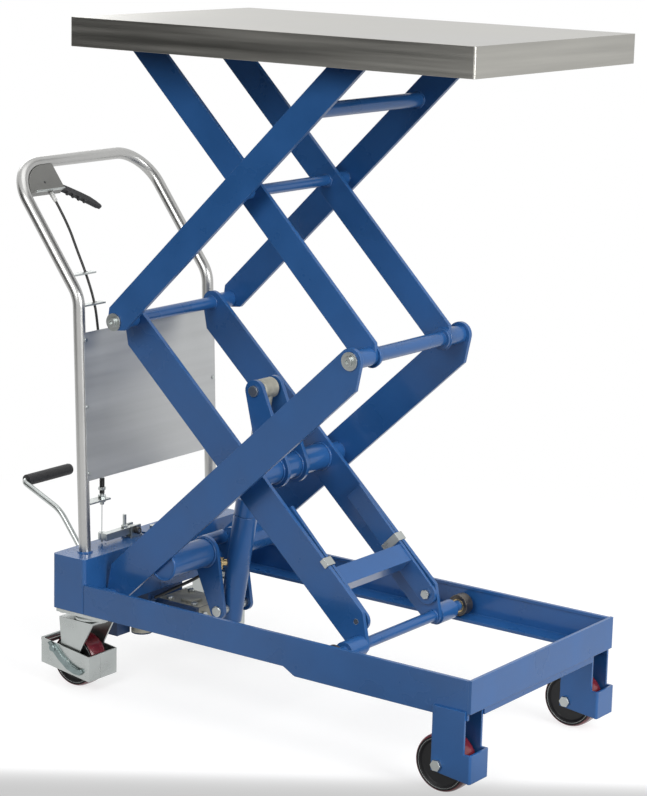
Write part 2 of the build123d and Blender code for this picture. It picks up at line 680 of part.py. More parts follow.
def handle_panel():
    low, high = panel_span()
    sheet = Pos(0, (low + high) / 2, HANDLE_R) * Rectangle(2 * PANEL_HALF_W, high - low)
    panel = extrude(UPRIGHT_PLANE * sheet, PANEL_T)
    for y, w in rivet_places():
        panel -= UPRIGHT_PLANE * Pos(y, w, HANDLE_R) * Cylinder(RIVET_R + SEAT, 6)
    return panel


def panel_rivets():
    pieces = []
    for y, w in rivet_places():
        shank = Pos(y, w, HANDLE_R + PANEL_T / 2 - 1) * Cylinder(RIVET_R, PANEL_T + 2)
        head = Pos(y, w, HANDLE_R + PANEL_T + 0.8) * Cylinder(RIVET_HEAD_R, 1.6)
        pieces.append(UPRIGHT_PLANE * (shank + head))
    return pieces


def inside_corner(clear, edge):
    """The handle's corner, clear of the tube's axis by a distance, out to the bracket's edge."""
    corner = Pos(GRIP_BEND_R, GRIP_BEND_R) * Circle(GRIP_BEND_R - clear)
    corner += Pos((GRIP_BEND_R + edge) / 2, BRACKET_DEPTH / 2) * Rectangle(
        edge - GRIP_BEND_R, 2 * BRACKET_DEPTH
    )
    keep_w, keep_h = edge - clear, BRACKET_DEPTH - clear
    return corner & (Pos(clear + keep_w / 2, clear + keep_h / 2) * Rectangle(keep_w, keep_h))


def lever_bracket():
    """Folded corner bracket between the handle's leg and its top bar."""
    outer = BRACKET_OPEN / 2 + BRACKET_SHEET
    sheet = inside_corner(sqrt(HANDLE_R ** 2 - (BRACKET_OPEN / 2) ** 2) + 4 * SEAT, BRACKET_EDGE)
    body = extrude(Pos(0, 0, -outer) * sheet, BRACKET_SHEET)
    body += extrude(Pos(0, 0, outer - BRACKET_SHEET) * sheet, BRACKET_SHEET)
    fold = inside_corner(HANDLE_R + 2 * SEAT, BRACKET_EDGE - 4)
    fold -= Pos(0, BRACKET_DEPTH / 2 - BRACKET_SHEET) * Rectangle(3 * BRACKET_EDGE, BRACKET_DEPTH)
    body += extrude(Pos(0, 0, -outer) * fold, 2 * outer)
    pin = Circle(LEVER_PIN_R) - Circle(1.8)
    body += extrude(Pos(LEVER_PIVOT_U, LEVER_PIVOT_V, -outer) * pin, 2 * outer)
    wire_hole = Pos(FERRULE_U, BRACKET_DEPTH, 0) * Rot(90, 0, 0) * Cylinder(WIRE_R + 0.7, 10)
    return CORNER_PLANE * (body - wire_hole)


def hand_lever():
    """Squeeze lever with a ribbed underside, in the bracket's own plane."""
    root = hull((LEVER_PIVOT_U, LEVER_PIVOT_V, 9), (90, 54, 6))
    blade = Polygon(
        (86, 47), (100, 50.5), (140, 74), (166, 91), (176, 104), (175, 110), (170, 112),
        (154, 101), (129, 90), (101, 71), (97, 61), (86, 60), align=None,
    )
    for u, v in ((110, 76.4), (121, 84), (132, 90.6), (143, 95.4)):
        blade += Pos(u, v) * Circle(3.4)
    shape = root + blade - Pos(LEVER_PIVOT_U, LEVER_PIVOT_V) * Circle(LEVER_PIN_R + RUN)
    return CORNER_PLANE * extrude(Pos(0, 0, -LEVER_T / 2) * shape, LEVER_T)


def handle_envelope():
    side = [(HANDLE_FOOT_X, BEAM_TOP), (KNEE_X, KNEE_Z), (GRIP_X, GRIP_Z)]
    points = [(x, -HANDLE_Y, z) for x, z in side]
    return sweep_round(points, KNEE_BEND_R, HANDLE_R + SEAT)


def ferrule_end():
    end = CORNER_PLANE.from_local_coords(Vector(FERRULE_U, BRACKET_DEPTH + FERRULE_LENGTH, 0))
    return (end.X, end.Y, end.Z)


def cable_points():
    start = ferrule_end()
    lead = CORNER_PLANE.from_local_coords(Vector(FERRULE_U, BRACKET_DEPTH + FERRULE_LENGTH + 50, 0))
    return [start, (lead.X, lead.Y, lead.Z)] + CABLE_PATH


def cable_clips():
    pieces = []
    for x, z in CLIPS:
        tab = box(x - CLIP_W / 2, x + CLIP_W / 2, CLIP_END_Y - 72, CLIP_END_Y, z - CLIP_T / 2, z + CLIP_T / 2)
        tab -= handle_envelope()
        tab -= post(x - 3.6, -125.2, z - 5, z + 5, SHEATH_R + 2)
        pieces.append(max(tab.solids(), key=lambda solid: solid.volume))
    return pieces


def cable_adjuster():
    """Tab on the handle, threaded adjuster with its nuts, bare wire and both end ferrules."""
    tab = box(
        ADJUSTER_X - 9, ADJUSTER_X + 14, 8 - HANDLE_Y, ADJUSTER_Y + 9,
        ADJUSTER_TAB_Z, ADJUSTER_TAB_Z + CLIP_T,
    )
    tab -= handle_envelope()
    tab = max(tab.solids(), key=lambda solid: solid.volume)
    barrel = post(ADJUSTER_X, ADJUSTER_Y, ADJUSTER_BOTTOM, ADJUSTER_TOP - 12, 4)
    barrel += post(ADJUSTER_X, ADJUSTER_Y, ADJUSTER_TOP - 12, ADJUSTER_TOP, 3.4)
    for z in (ADJUSTER_TAB_Z - 5, ADJUSTER_TAB_Z + CLIP_T, ADJUSTER_TAB_Z + 18):
        barrel += Pos(ADJUSTER_X, ADJUSTER_Y, z) * extrude(RegularPolygon(7.5, 6), 5)
    wire = post(ADJUSTER_X, ADJUSTER_Y, WIRE_BOTTOM, ADJUSTER_BOTTOM, WIRE_R)
    nipple = post(ADJUSTER_X, ADJUSTER_Y, WIRE_BOTTOM - 4, WIRE_BOTTOM, WIRE_HOLE_R - 0.4)
    ferrule = Pos(FERRULE_U, BRACKET_DEPTH + FERRULE_LENGTH / 2, 0) * Rot(90, 0, 0)
    ferrule = CORNER_PLANE * (ferrule * Cylinder(FERRULE_R, FERRULE_LENGTH))
    inner = Pos(FERRULE_U, BRACKET_DEPTH - 5.4, 0) * Rot(90, 0, 0) * Cylinder(WIRE_R, 10.8)
    return [tab + barrel + wire + nipple, ferrule + CORNER_PLANE * inner]


def release_bracket():
    half = RELEASE_W / 2 + GAP + 0.5
    body = box(
        RELEASE_X - half - 4, RELEASE_X + half + 4,
        RELEASE_PIVOT_Y - 15, RELEASE_PIVOT_Y + 18, BEAM_TOP, BEAM_TOP + 4,
    )
    for x0 in (RELEASE_X - half - 4, RELEASE_X + half):
        body += box(x0, x0 + 4, RELEASE_PIVOT_Y - 12, RELEASE_PIVOT_Y + 14, BEAM_TOP, RELEASE_PIVOT_Z + 9)
    pin = Pos(RELEASE_X, RELEASE_PIVOT_Y, RELEASE_PIVOT_Z) * Rot(0, 90, 0) * Cylinder(3.5, 2 * half + 14)
    knob = Pos(RELEASE_X + half + 8, RELEASE_PIVOT_Y, RELEASE_PIVOT_Z) * Rot(0, 90, 0) * Cylinder(6, 8)
    bolt = Pos(HANDLE_FOOT_X - 5, 18, BEAM_TOP) * extrude(RegularPolygon(9, 6), 8)
    return [body + pin + knob, bolt]


def release_lever():
    x0, x1 = RELEASE_X - RELEASE_W / 2, RELEASE_X + RELEASE_W / 2
    z0 = RELEASE_PIVOT_Z - RELEASE_H / 2
    bar = box(x0, x1, RELEASE_END_Y - 6, RELEASE_PIVOT_Y + 9, z0, z0 + RELEASE_H)
    bar -= Pos(RELEASE_X, RELEASE_PIVOT_Y, RELEASE_PIVOT_Z) * Rot(0, 90, 0) * Cylinder(3.5 + RUN, 40)
    eye = post(ADJUSTER_X, RELEASE_END_Y, z0, z0 + RELEASE_H, 7)
    bar += eye
    bar -= post(ADJUSTER_X, RELEASE_END_Y, z0 - 1, z0 + RELEASE_H + 1, WIRE_HOLE_R)
    screw_y = RELEASE_PIVOT_Y - 15.5 - 4
    bar += post(RELEASE_X, screw_y, BEAM_TOP + 4, 298, 3.5)
    bar += Pos(RELEASE_X, screw_y, z0 + RELEASE_H) * extrude(RegularPolygon(6.5, 6), 5)
    return bar


# ---- Lower scissor ----
def lower_outer_arms():
    outline = bored(lower_arm_outline(), (0, BASE_PIN_R + RUN), (ARM_LENGTH, STUB_R + RUN))
    plate = slab(along_arm(outline, BASE_PIN_Z), OUTER_ARM_Y, OUTER_FACE)
    x, z = LOWER_CENTRE
    pin = disc(x, z, CENTRE_PIN_R, INNER_ARM_Y - 5, OUTER_ARM_Y)
    collar = disc(x, z, CENTRE_PIN_R + 6, INNER_FACE + GAP, OUTER_ARM_Y)
    return both(plate + pin + collar)


def lower_torque_tube():
    stub = tube(BRACE_X, BRACE_Z, BRACE_R, BRACE_WALL, CYL_BRACKET_Y + CYL_BRACKET_T, OUTER_ARM_Y)
    stub += disc(BRACE_X, BRACE_Z, BRACE_R, OUTER_ARM_Y - BRACE_WALL, OUTER_ARM_Y)
    tie = tube(TIE_X, TIE_Z, TIE_R, 3, -CYL_BRACKET_Y, CYL_BRACKET_Y)
    return both(stub) + [tie]


def cylinder_brackets():
    shape = hull(
        (BRACE_X, BRACE_Z, CYL_BRACKET_HUB_R),
        (CYL_FOOT_X, CYL_FOOT_Z, CYL_BRACKET_FOOT_R),
    )
    shape -= Pos(CYL_FOOT_X, CYL_FOOT_Z) * Circle(CYL_PIN_R + SEAT)
    return both(slab(shape, CYL_BRACKET_Y, CYL_BRACKET_Y + CYL_BRACKET_T))


def cylinder_pin():
    end = CYL_BRACKET_Y + CYL_BRACKET_T + 4
    pin = disc(CYL_FOOT_X, CYL_FOOT_Z, CYL_PIN_R, -end, end)
    return chamfer(pin.edges().filter_by(GeomType.CIRCLE), 1.5)


def cylinder_barrel():
    shaft = Circle(BARREL_R)
    body = extrude(Pos(0, 0, -BARREL_FLOOR) * shaft, BARREL_FLOOR + BARREL_LENGTH)
    body -= extrude(Pos(0, 0, BARREL_FLOOR) * Circle(BARREL_R - BARREL_WALL), BARREL_SEAM - BARREL_FLOOR)
    body -= extrude(Pos(0, 0, BARREL_SEAM - 1) * Circle(ROD_R + RUN), BARREL_LENGTH)
    groove = Circle(BARREL_R + 1) - Circle(BARREL_R - 1.2)
    body -= extrude(Pos(0, 0, BARREL_SEAM - 1) * groove, 2)
    body = CYL_PLANE * body
    return body - disc(CYL_FOOT_X, CYL_FOOT_Z, CYL_PIN_R + RUN, -BARREL_R - 1, BARREL_R + 1)


def cylinder_rod():
    foot = BARREL_SEAM - 0.5 - PISTON_T
    rod = extrude(Pos(0, 0, foot) * Circle(ROD_R), CYL_LENGTH - EYE_R + 3 - foot)
    rod += extrude(Pos(0, 0, foot) * Circle(BARREL_R - BARREL_WALL - RUN), PISTON_T)
    body = CYL_PLANE * rod
    body += disc(CYL_HEAD_X, CYL_HEAD_Z, EYE_R, -EYE_HALF_W, EYE_HALF_W)
    body -= disc(CYL_HEAD_X, CYL_HEAD_Z, CYL_PIN_R + SEAT, -EYE_HALF_W - 1, EYE_HALF_W + 1)
    sleeve = disc(CYL_HEAD_X, CYL_HEAD_Z, CYL_PIN_R, -EYE_HALF_W, EYE_HALF_W)
    return [body, sleeve]


def hose_fitting():
    """Port boss on the barrel with an upright body and a nut facing the hose."""
    x, y, z = HOSE_PATH[0]
    axis_x = CYL_FOOT_X + (CYL_HEAD_X - CYL_FOOT_X) * (z + 3 - CYL_FOOT_Z) / (CYL_HEAD_Z - CYL_FOOT_Z)
    body_x = x + 8
    reach = Vector(body_x - axis_x, y, 0)
    port = Plane(origin=(axis_x, 0, z + 3), z_dir=(reach.X, reach.Y, 0))
    boss = extrude(port * (Pos(0, 0, BARREL_R - 3) * Circle(6)), reach.length - BARREL_R + 3)
    barrel = CYL_PLANE * extrude(Pos(0, 0, 0) * Circle(BARREL_R + 0.02), BARREL_SEAM)
    body = post(body_x, y, z - 9, z + 12, 5.5)
    heading = Vector(*HOSE_PATH[1]) - Vector(*HOSE_PATH[0])
    nut = Plane(origin=HOSE_PATH[0], z_dir=heading)
    body += extrude(nut * (Pos(0, 0, -5) * RegularPolygon(5.2, 6)), 5)
    return (boss + body) - barrel


def lower_inner_arms():
    outline = bored(
        lower_arm_outline(),
        (0, BASE_PIN_R + SEAT), (ARM_LENGTH / 2, CENTRE_PIN_R + RUN), (ARM_LENGTH, MID_REAR_R + SEAT),
    )
    outline -= Pos(PROP_PIVOT_S, PROP_N) * Circle(PROP_BOLT_R + SEAT)
    return both(flip(slab(along_arm(outline, BASE_PIN_Z), INNER_ARM_Y, INNER_FACE)))


def lift_torque_tube():
    x, z = LOWER_CENTRE
    return tube(x, z, LIFT_TUBE_R, LIFT_TUBE_WALL, -INNER_ARM_Y, INNER_ARM_Y)


def lift_lugs():
    x, z = LOWER_CENTRE
    shape = hull((x, z, LUG_HUB_R), (CYL_HEAD_X, CYL_HEAD_Z, LUG_TOP_R))
    shape -= Pos(x, z) * Circle(LIFT_TUBE_R + SEAT)
    shape -= Pos(CYL_HEAD_X, CYL_HEAD_Z) * Circle(CYL_PIN_R + SEAT)
    return both(slab(shape, LUG_IN_Y, LUG_IN_Y + LUG_T))


def lift_pin():
    """Two pin ends in the lugs; the middle length sits in the rod's eye."""
    end = LUG_IN_Y + LUG_T
    return both(disc(CYL_HEAD_X, CYL_HEAD_Z, CYL_PIN_R, LUG_IN_Y, end + 4))


def mid_rear_shaft():
    core = disc(0, MID_Z, MID_REAR_R, -OUTER_FACE - GAP, OUTER_FACE + GAP)
    core += disc(0, MID_Z, MID_REAR_R + 2, -INNER_ARM_Y, INNER_ARM_Y)
    for collar in both(disc(0, MID_Z, COLLAR_R - 1, INNER_FACE, OUTER_ARM_Y - GAP)):
        core += collar
    return core


def lower_roller_shaft():
    bar = disc(SPAN, BASE_PIN_Z, BASE_PIN_R, -ROLLER_OUT_Y + ROLLER_W + GAP, ROLLER_OUT_Y - ROLLER_W - GAP)
    bar += disc(SPAN, BASE_PIN_Z, ROLLER_PIN_R, -ROLLER_OUT_Y - GAP, ROLLER_OUT_Y + GAP)
    end = disc(SPAN, BASE_PIN_Z, BASE_PIN_R + 8, INNER_FACE, OUTER_ARM_Y + 3)
    end += disc(SPAN, BASE_PIN_Z, ROLLER_PIN_R + 4, ROLLER_OUT_Y + GAP, ROLLER_OUT_Y + GAP + 2.5)
    for piece in both(end):
        bar += piece
    return bar


def lower_rollers():
    return both(
        ring(SPAN, BASE_PIN_Z, ROLLER_R, ROLLER_PIN_R + RUN, ROLLER_OUT_Y - ROLLER_W, ROLLER_OUT_Y)
    )


# ---- Safety prop on the inner lower arms ----
def on_inner_arm(sketch):
    """A sketch drawn along the inner lower arm from its roller pin."""
    return along_arm(sketch, BASE_PIN_Z)


def prop_frame():
    half = PROP_W / 2
    bar = hull(
        (PROP_PIVOT_S, PROP_N, half),
        (PROP_END_S, PROP_N + half - 0.5), (PROP_END_S, PROP_N - half + 0.5),
    )
    bar -= Pos(PROP_PIVOT_S, PROP_N) * Circle(PROP_BOLT_R + RUN)
    body = slab(on_inner_arm(bar), PROP_Y, PROP_Y + PROP_T)
    body += mirror(body, Plane.XZ)
    mid_s = PROP_BEAM_S + PROP_BEAM_W / 2
    web = Pos(mid_s, PROP_N) * Rectangle(PROP_BEAM_W, PROP_W - 4)
    web -= Pos(mid_s, PROP_N - PROP_WALL) * Rectangle(PROP_BEAM_W - 2 * PROP_WALL, PROP_W - 4)
    body += slab(on_inner_arm(web), -PROP_Y, PROP_Y)
    return flip(body)


def prop_clips():
    mid = PROP_CLIP_S + PROP_CLIP_W / 2
    top = PROP_N + PROP_W / 2 + PROP_CLIP_RISE
    inside = Pos(mid, top - 19) * Rectangle(PROP_CLIP_W, 38)
    over = Pos(mid, top + 1) * Rectangle(PROP_CLIP_W, 2)
    lip = Pos(mid, top - 3) * Rectangle(PROP_CLIP_W, 10)
    clip = slab(on_inner_arm(inside), PROP_Y - 2, PROP_Y)
    clip += slab(on_inner_arm(over), PROP_Y - 2, INNER_FACE + GAP + 2)
    clip += slab(on_inner_arm(lip), INNER_FACE + GAP, INNER_FACE + GAP + 2)
    return both(flip(clip))


def prop_bolts():
    bolt = slab(on_inner_arm(Pos(PROP_PIVOT_S, PROP_N) * Circle(PROP_BOLT_R)), PROP_Y - GAP, INNER_FACE)
    head = slab(on_inner_arm(Pos(PROP_PIVOT_S, PROP_N) * RegularPolygon(9, 6)), PROP_Y - GAP - 5, PROP_Y - GAP)
    return both(flip(bolt + head))


# ---- Upper scissor ----
def upper_inner_arms():
    outline = bored(
        upper_arm_outline(),
        (0, STUB_R + SEAT), (ARM_LENGTH / 2, UPPER_CENTRE_PIN_R + RUN), (ARM_LENGTH, TOP_PIN_R + RUN),
    )
    return both(flip(slab(along_arm(outline, MID_Z), INNER_ARM_Y, INNER_FACE)))


def upper_inner_tubes():
    shaft = disc(SPAN, MID_Z, STUB_R, -OUTER_FACE - GAP, OUTER_FACE + GAP)
    shaft += disc(SPAN, MID_Z, CROSS_TUBE_R, -INNER_ARM_Y, INNER_ARM_Y)
    end = disc(SPAN, MID_Z, 19, INNER_ARM_Y - 8, INNER_ARM_Y)
    end += disc(SPAN, MID_Z, COLLAR_R, INNER_FACE, OUTER_ARM_Y - GAP)
    for piece in both(end):
        shaft += piece
    x, z = UPPER_CENTRE
    brace = tube(x, z, UPPER_CENTRE_PIN_R + 3, 2, -INNER_ARM_Y, INNER_ARM_Y)
    return [shaft, brace]


def upper_outer_arms():
    outline = bored(upper_arm_outline(), (0, MID_REAR_R + OPEN_PIVOT_GAP))
    plate = slab(along_arm(outline, MID_Z), OUTER_ARM_Y, OUTER_FACE)
    x, z = UPPER_CENTRE
    plate += disc(x, z, UPPER_CENTRE_PIN_R, INNER_ARM_Y - 3, OUTER_ARM_Y)
    plate += disc(x, z, UPPER_CENTRE_PIN_R + 6, INNER_FACE + GAP, OUTER_ARM_Y)
    roller_end = UPPER_ROLLER_Y + UPPER_ROLLER_W + GAP
    plate += disc(SPAN, TOP_Z, ROLLER_PIN_R, OUTER_FACE, roller_end)
    plate += disc(SPAN, TOP_Z, ROLLER_PIN_R + 3, OUTER_FACE, UPPER_ROLLER_Y - GAP)
    plate += disc(SPAN, TOP_Z, ROLLER_PIN_R + 3, roller_end, roller_end + 2)
    return both(plate)


def upper_cross_tube():
    x, z = SPAN * 0.8, MID_Z + RISE * 0.8
    return tube(x, z, CROSS_TUBE_R, 3, -OUTER_ARM_Y, OUTER_ARM_Y)


def upper_rollers():
    return both(
        ring(SPAN, TOP_Z, UPPER_ROLLER_R, ROLLER_PIN_R + RUN, UPPER_ROLLER_Y, UPPER_ROLLER_Y + UPPER_ROLLER_W)
    )


# ---- Platform ----
def platform_deck():
    body = box(DECK_REAR, DECK_FRONT, -DECK_HALF_W, DECK_HALF_W, DECK_TOP - DECK_SKIRT, DECK_TOP)
    body = fillet(body.edges().filter_by(Axis.Z), 3)
    inside = box(
        DECK_REAR + DECK_T, DECK_FRONT - DECK_T, DECK_T - DECK_HALF_W, DECK_HALF_W - DECK_T,
        DECK_TOP - DECK_SKIRT - 1, DECK_TOP - DECK_T,
    )
    return body - inside


def platform_frame():
    under = DECK_TOP - DECK_T
    rear, front = DECK_REAR + DECK_T, DECK_FRONT - DECK_T
    side = DECK_HALF_W - DECK_T
    body = box(rear, rear + 12, -side, side, TOP_Z, under)
    body += box(front - 12, front, -side, side, TOP_Z, under)
    web_out = UPPER_ROLLER_Y + UPPER_ROLLER_W + 8
    for x in (250.0, 520.0):
        body += box(x, x + 40, -web_out, web_out, under - 12, under)
    roof = TOP_Z + UPPER_ROLLER_R + GAP
    floor = TOP_Z - UPPER_ROLLER_R - GAP
    track = box(rear, front, web_out - TRACK_T, web_out, floor - TRACK_T, under)
    track += box(rear, front, UPPER_ROLLER_Y - 3, web_out, roof, roof + TRACK_T)
    track += box(rear, front, UPPER_ROLLER_Y - 3, web_out, floor - TRACK_T, floor)
    ear_y = INNER_FACE + 4
    ear = slab(hull((0, TOP_Z, 18), (-28, under - 0.5), (28, under - 0.5)), ear_y, ear_y + ARM_T)
    pin = disc(0, TOP_Z, TOP_PIN_R, INNER_ARM_Y - GAP - 4, ear_y + 1)
    pin += disc(0, TOP_Z, TOP_PIN_R + 4, INNER_ARM_Y - GAP - 4, INNER_ARM_Y - GAP)
    for piece in both(track) + both(ear) + both(pin):
        body += piece
    return body


# ---- Nodes ----
def build():
    add("rear_beam", rear_beam())
    add("side_rails", side_rails())
    add("front_plate", front_plate())
    add("front_brackets", front_brackets())
    add("front_axle_bolts", front_axle_bolts())
    add("base_pivots", base_pivots())
    add("caster_top_plates", caster_top_plates())
    add("pump_body", pump_body())
    add("handle_tube", handle_tube())
    add("handle_panel", handle_panel())
    add("panel_rivets", panel_rivets())
    add("lever_bracket", lever_bracket())
    add("cable_sheath", cord("cable_sheath", cable_points(), SHEATH_R))
    add("cable_adjuster", cable_adjuster())
    add("cable_clips", cable_clips())
    add("release_bracket", release_bracket())
    add("hydraulic_hose", cord("hydraulic_hose", HOSE_PATH, HOSE_R))
    for side, sign in (("right", -1), ("left", 1)):
        add("front_hub_" + side, wheel_hub(FRONT_AXLE_X, sign * FRONT_WHEEL_Y))
        add("front_tread_" + side, wheel_tread(FRONT_AXLE_X, sign * FRONT_WHEEL_Y))
        place = Pos(0, sign * SWIVEL_Y, 0)
        add("caster_fork_" + side, place * caster_fork(), place * caster_axle())
        add("caster_hub_" + side, wheel_hub(CASTER_X, sign * SWIVEL_Y))
        add("caster_tread_" + side, wheel_tread(CASTER_X, sign * SWIVEL_Y))
        add("brake_guard_" + side, place * brake_guard())
    add("pedal_lever", pedal_lever())
    add("pedal_grip", pedal_grip())
    add("pump_plunger", pump_plunger())
    add("release_lever", release_lever())
    add("hand_lever", hand_lever())
    add("lower_outer_arms", lower_outer_arms())
    add("lower_torque_tube", lower_torque_tube())
    add("cylinder_brackets", cylinder_brackets())
    add("cylinder_pin", cylinder_pin())
    add("cylinder_barrel", cylinder_barrel())
    add("cylinder_rod", cylinder_rod())
    add("hose_fitting", hose_fitting())
    add("lower_inner_arms", lower_inner_arms())
    add("lift_torque_tube", lift_torque_tube())
    add("lift_lugs", lift_lugs())
    add("lift_pin", lift_pin())
    add("mid_rear_shaft", mid_rear_shaft())
    add("lower_roller_shaft", lower_roller_shaft())
    add("mid_rear_bolts", both(bolt_end(0, MID_Z, OUTER_FACE + GAP)))
    add("lower_rollers", lower_rollers())
    add("prop_frame", prop_frame())
    add("prop_clips", prop_clips())
    add("prop_bolts", prop_bolts())
    add("upper_inner_arms", upper_inner_arms())
    add("upper_inner_tubes", upper_inner_tubes())
    add("mid_front_bolts", both(bolt_end(SPAN, MID_Z, OUTER_FACE + GAP)))
    add("upper_outer_arms", upper_outer_arms())
    add("upper_cross_tube", upper_cross_tube())
    add("upper_rollers", upper_rollers())
    add("platform_deck", platform_deck())
    add("platform_frame", platform_frame())


def export():
    os.makedirs("parts", exist_ok=True)
    for name, solids in nodes.items():
        moved = [Pos(FRAME_SHIFT, 0, 0) * solid for solid in solids]
        shape = moved[0] if len(moved) == 1 else Compound(children=moved)
        export_step(shape, "parts/" + name + ".step")
    print(len(nodes), "nodes, shifted by", round(FRAME_SHIFT, 3), "along X")


build()
export()
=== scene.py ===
import json
from math import cos, pi, radians, sin, tan

import bmesh
import bpy
from mathutils import Matrix, Vector


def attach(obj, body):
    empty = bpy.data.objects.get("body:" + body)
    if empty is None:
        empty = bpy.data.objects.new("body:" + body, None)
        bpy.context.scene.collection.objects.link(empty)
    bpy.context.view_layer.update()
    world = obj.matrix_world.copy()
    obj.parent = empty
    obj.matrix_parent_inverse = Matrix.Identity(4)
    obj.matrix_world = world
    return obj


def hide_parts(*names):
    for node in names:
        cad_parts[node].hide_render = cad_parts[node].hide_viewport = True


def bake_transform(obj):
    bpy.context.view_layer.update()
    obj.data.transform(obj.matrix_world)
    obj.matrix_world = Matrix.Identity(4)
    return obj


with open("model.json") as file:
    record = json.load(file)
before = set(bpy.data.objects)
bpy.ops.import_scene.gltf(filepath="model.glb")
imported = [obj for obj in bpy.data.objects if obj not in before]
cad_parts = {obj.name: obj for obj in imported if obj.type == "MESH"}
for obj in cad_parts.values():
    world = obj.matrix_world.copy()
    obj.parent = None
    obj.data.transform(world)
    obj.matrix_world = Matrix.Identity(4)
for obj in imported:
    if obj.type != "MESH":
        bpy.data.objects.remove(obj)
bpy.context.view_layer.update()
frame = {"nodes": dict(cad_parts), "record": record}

# Looks of a foot-operated double scissor lift table, built around its CAD frame.
# Row frame in metres: +X to the toe, +Y to the far side, +Z up, floor at Z = 0.
# Places are given in millimetres with X = 0 at the rear scissor pivots, and at() turns
# them into the row frame.
SCENE = bpy.context.scene
MM = 0.001
FRAME_SHIFT = -247.0

# Main places and sizes, in millimetres
SPAN, RISE = 516.39, 507.46             # from one end pin of a raised arm to the other
PIN_Z, MID_Z = 175.7, 683.16            # lower and middle pivots
INNER_ARM, OUTER_ARM = 109.0, 162.0     # inner faces of the inner and the outer arms
LIFT_TUBE = (SPAN / 2, PIN_Z + RISE / 2, 24.0)      # X, Z and radius
TORQUE_TUBE = (112.0, 252.0, 26.0)
LUG_FACES = (24.0, 32.0)
CYL_BRACKET_FACES = (36.0, 44.0)
CYL_FOOT, CYL_HEAD = (144.0, 145.0), (211.0, 566.0)

RAIL_BOTTOM, RAIL_TOP, RAIL_OUT = 150.0, 205.0, 230.0
RAIL_T = 5.4
BEAM_TOP, BEAM_FRONT = 252.0, -16.0
FRONT_PLATE_X = 804.0
FRONT_BRACKET_HALF = 28.25
PUMP_FRONT, PUMP_TOP = 84.4, 135.4
RESERVOIR_X, RESERVOIR_Y, RESERVOIR_FOOT = -54.0, 22.0, 59.6
PEDAL_GRIP = (-316.8, 0.0, 318.0)

WHEEL_R, WHEEL_HALF, HUB_R, AXLE_BORE_R = 50.8, 19.0, 46.5, 6.2
FRONT_AXLE = (757.8, 206.25)            # X, and Y out from the middle plane
CASTER_AXLE = (-58.0, 192.0)
SWIVEL_X = -28.0
ROLLER_X, ROLLER_FACE_Y = 516.4, 190.0
ROLLER_R, ROLLER_W = 20.0, 21.5
BUSH_R, BUSH_BORE_R = 12.4, 8.2

HANDLE_FOOT, HANDLE_BEND, HANDLE_TOP = (-53.3, 214.0), (-72.0, 722.0), (-240.0, 942.0)
HANDLE_Y, HANDLE_R = 184.0, 11.0
CABLE_U = 68.7                          # the cable's place in the handle's corner plane
BRACKET_SKIN = 8.0                      # lever bracket's outer face, out of that plane
ADJUSTER = (-70.0, -120.0)
ADJUSTER_FOOT, ADJUSTER_TOP = 346.0, 377.0

SIDES = (("right", -1), ("left", 1))
X_AXIS = Vector((1, 0, 0))
Y_AXIS = Vector((0, 1, 0))
Z_AXIS = Vector((0, 0, 1))
GRIP_CORNER = Vector((HANDLE_TOP[0], -HANDLE_Y, HANDLE_TOP[1]))
LEG_DIR = Vector((HANDLE_BEND[0] - HANDLE_TOP[0], 0, HANDLE_BEND[1] - HANDLE_TOP[1])).normalized()
CORNER_OUT = Vector((-LEG_DIR.z, 0, LEG_DIR.x))


def at(x, y, z):
    return Vector(((x + FRAME_SHIFT) * MM, y * MM, z * MM))


def corner(u, v):
    """A place in the plane of the handle's near upper corner: u along +Y, v down the leg."""
    place = GRIP_CORNER + Vector((0, u, 0)) + LEG_DIR * v
    return at(*place)


# ---- Camera ----
SENSOR_MM = 36.0
LENS_MM = 111.41638
CAMERA_PLACE = (2.5841, -3.4508, 1.4880)
CAMERA_RIGHT = (0.8076, 0.5892, 0.0243)
CAMERA_UP = (-0.1438, 0.1568, 0.9771)
CAMERA_BACK = (0.5719, -0.7926, 0.2114)


def add_camera():
    data = bpy.data.cameras.new("camera")
    data.sensor_width = SENSOR_MM
    data.sensor_height = SENSOR_MM
    data.sensor_fit = "AUTO"
    data.lens = LENS_MM
    data.clip_end = 60.0
    camera = bpy.data.objects.new("camera", data)
    rows = zip(CAMERA_RIGHT, CAMERA_UP, CAMERA_BACK, CAMERA_PLACE)
    camera.matrix_world = Matrix((*rows, (0, 0, 0, 1)))
    SCENE.collection.objects.link(camera)
    SCENE.camera = camera


# ---- Materials ----
NOISE_BAND = (0.3, 0.7)
EDGE_BAND = (0.99, 0.8)


